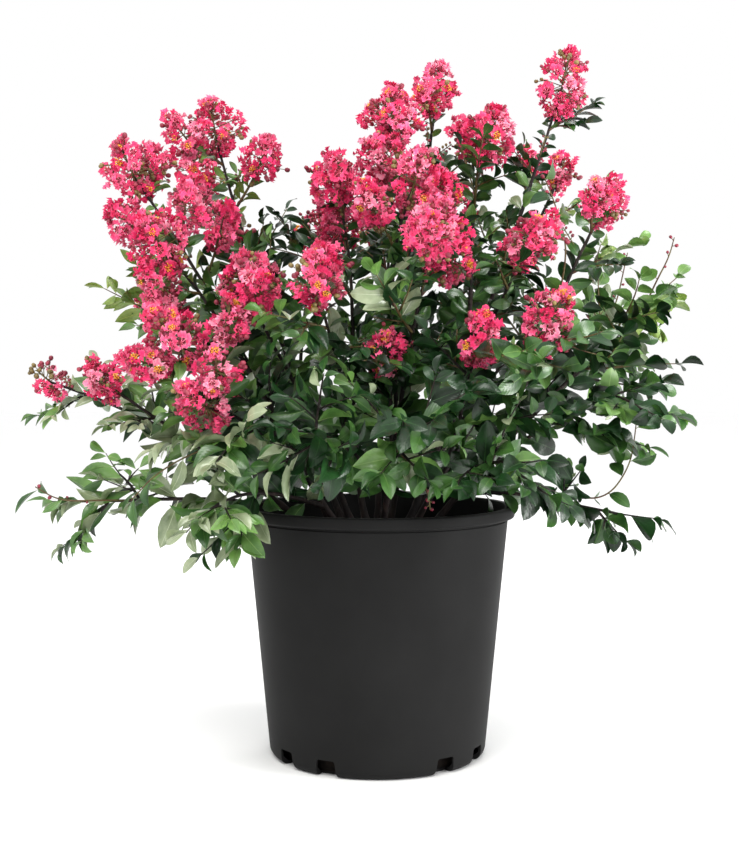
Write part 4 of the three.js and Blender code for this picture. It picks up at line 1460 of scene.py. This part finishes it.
def leaf_paint(tone, dark, light, vein, gloss):
    """A glossy leaf with a pale midrib, raised side veins and blotches of lighter green."""
    paint = Paint("leaf_" + tone, Roughness=0.32, Specular_IOR_Level=gloss)
    side, along = paint.across()
    body = paint.ramp(paint.noise(42, 4), (0.36, dark), (0.66, light))
    rib = paint.math("LESS_THAN", side, 0.016)
    base = paint.blend(paint.math("MULTIPLY", rib, 0.75), body, paint.ramp(along, (0, vein), (1, light)))
    slant = paint.math("SUBTRACT", paint.math("MULTIPLY", along, 9), paint.math("MULTIPLY", side, 7))
    paint.bump(paint.math("PINGPONG", slant, 0.5), 0.16, 0.0008)
    paint.finish(base)


def petal_paint(tone, claw, fold, blade, edge):
    """A silky petal, paler on its claw, with fine crinkles, painted shade in its folds and a painted
    highlight towards its paler edge.
    """
    paint = Paint("petal_" + tone, Roughness=0.6, Specular_IOR_Level=0.22)
    _, along = paint.across()
    # Paler towards the edge, as a painted highlight
    base = paint.ramp(along, (0.1, claw), (0.55, blade), (1, edge))
    # Blotches of painted shade in the folds and painted highlight towards the edge
    painted_shade_and_highlight = paint.ramp(paint.noise(190, 3), (0.36, fold), (0.48, blade), (0.66, edge))
    paint.bump(paint.noise(900, 2), 0.4, 0.0006)
    paint.finish(paint.blend(paint.noise(90, 2), base, painted_shade_and_highlight))


def plain_paint(name, dark, light, scale, roughness, bump=0.3, **sockets):
    paint = Paint(name, Roughness=roughness, **sockets)
    paint.bump(paint.noise(scale * 4, 4), bump, 0.0006)
    paint.finish(paint.ramp(paint.noise(scale, 4), (0.35, dark), (0.68, light)))


def bark_paint():
    """Dark brown bark with pale lengthwise flecks."""
    paint = Paint("bark", Roughness=0.7, Specular_IOR_Level=0.35)
    fibres = paint.noise(260, 5, (1, 1, 0.14))
    patches = paint.ramp(paint.noise(38, 3), (0.4, "#141010"), (0.62, "#2C201E"))
    flecks = paint.ramp(fibres, (0.5, "#1C1616"), (0.72, "#55463E"))
    paint.bump(fibres, 0.6, 0.0012)
    paint.finish(paint.blend(paint.math("MULTIPLY", fibres, 0.6), patches, flecks))


def pot_paint():
    """Charcoal plastic with a satin skin and faint moulding lines."""
    paint = Paint("charcoal_plastic", Roughness=0.55, Specular_IOR_Level=0.06)
    grain = paint.noise(1400, 2)
    rings = paint.noise(60, 3, (0.02, 0.02, 1))
    paint.bump(paint.math("ADD", grain, paint.math("MULTIPLY", rings, 0.6)), 0.12, 0.0004)
    paint.finish(paint.ramp(paint.noise(14, 4), (0.3, "#1C1C1C"), (0.75, "#212121")))


def make_paints():
    kinds = ((leaf_paint, LEAF_PAINTS), (petal_paint, PETAL_PAINTS), (plain_paint, PLAIN_PAINTS))
    for make, rows in kinds:
        for row in rows:
            make(*row)
    plain_paint("potting_mix", "#070606", "#1E1713", 180, 0.95, 0.9, Specular_IOR_Level=0.1)
    bark_paint()
    pot_paint()


# ---------------------------------------------------------------- studio

CAMERA_PLACE = (-8.1, -1330, 377)
CAMERA_PITCH = 2
FOCAL_PIXELS = 1318
IMAGE_HEIGHT = 850
SENSOR = 36

# Each light has its place, the point it faces, its size, all in metres, its power and its tint.
LIGHTS = [
    ("key", (-0.4, -1.5, 2.3), (0, 0, 0.4), (1.4, 1.0), 42, (1, 0.99, 0.96)),
    ("side", (1.9, -0.9, 0.4), (0, 0, 0.15), (0.5, 1.0), 36, (1, 1, 1)),
    ("back", (0.4, 1.9, 1.9), (0, 0, 0.4), (1.4, 1.0), 20, (1, 1, 1)),
]
FLOOR_DISC_RADIUS = 14  # in metres


def make_camera():
    data = bpy.data.cameras.new("camera")
    data.sensor_width = SENSOR
    data.lens = FOCAL_PIXELS / IMAGE_HEIGHT * SENSOR
    camera = add_object("camera", data)
    camera.location = Vector(CAMERA_PLACE) * MM
    camera.rotation_euler = (math.radians(90 - CAMERA_PITCH), 0, 0)
    bpy.context.scene.camera = camera


def area_light(name, place, aim, size, power, tint):
    data = bpy.data.lights.new(name, "AREA")
    data.shape = "RECTANGLE"
    data.size, data.size_y = size
    data.energy = power
    data.color = tint
    light = add_object(name, data)
    light.location = place
    light.rotation_euler = (Vector(aim) - Vector(place)).to_track_quat("-Z", "Y").to_euler()


def make_studio():
    """A pale floor that runs out to a white surround, with large soft lights."""
    bpy.ops.mesh.primitive_circle_add(vertices=96, radius=FLOOR_DISC_RADIUS, fill_type="NGON")
    floor = bpy.context.object
    floor.name = "floor"
    paint = Paint("floor", Roughness=0.8, Specular_IOR_Level=0.2)
    paint.finish(paint.ramp(paint.noise(0.6, 2), (0.3, "#FEFEFE"), (0.7, "#FFFFFF")))
    floor.data.materials.append(paints["floor"])
    world = bpy.data.worlds.new("surround")
    world.use_nodes = True
    background = world.node_tree.nodes["Background"]
    background.inputs["Color"].default_value = (1, 1, 1, 1)
    background.inputs["Strength"].default_value = 1.0
    bpy.context.scene.world = world
    for row in LIGHTS:
        area_light(*row)
    bpy.context.scene.view_settings.view_transform = "Standard"


# ---------------------------------------------------------------- the scene

make_paints()
make_pot()
make_soil()
make_plant()
make_studio()
make_camera()
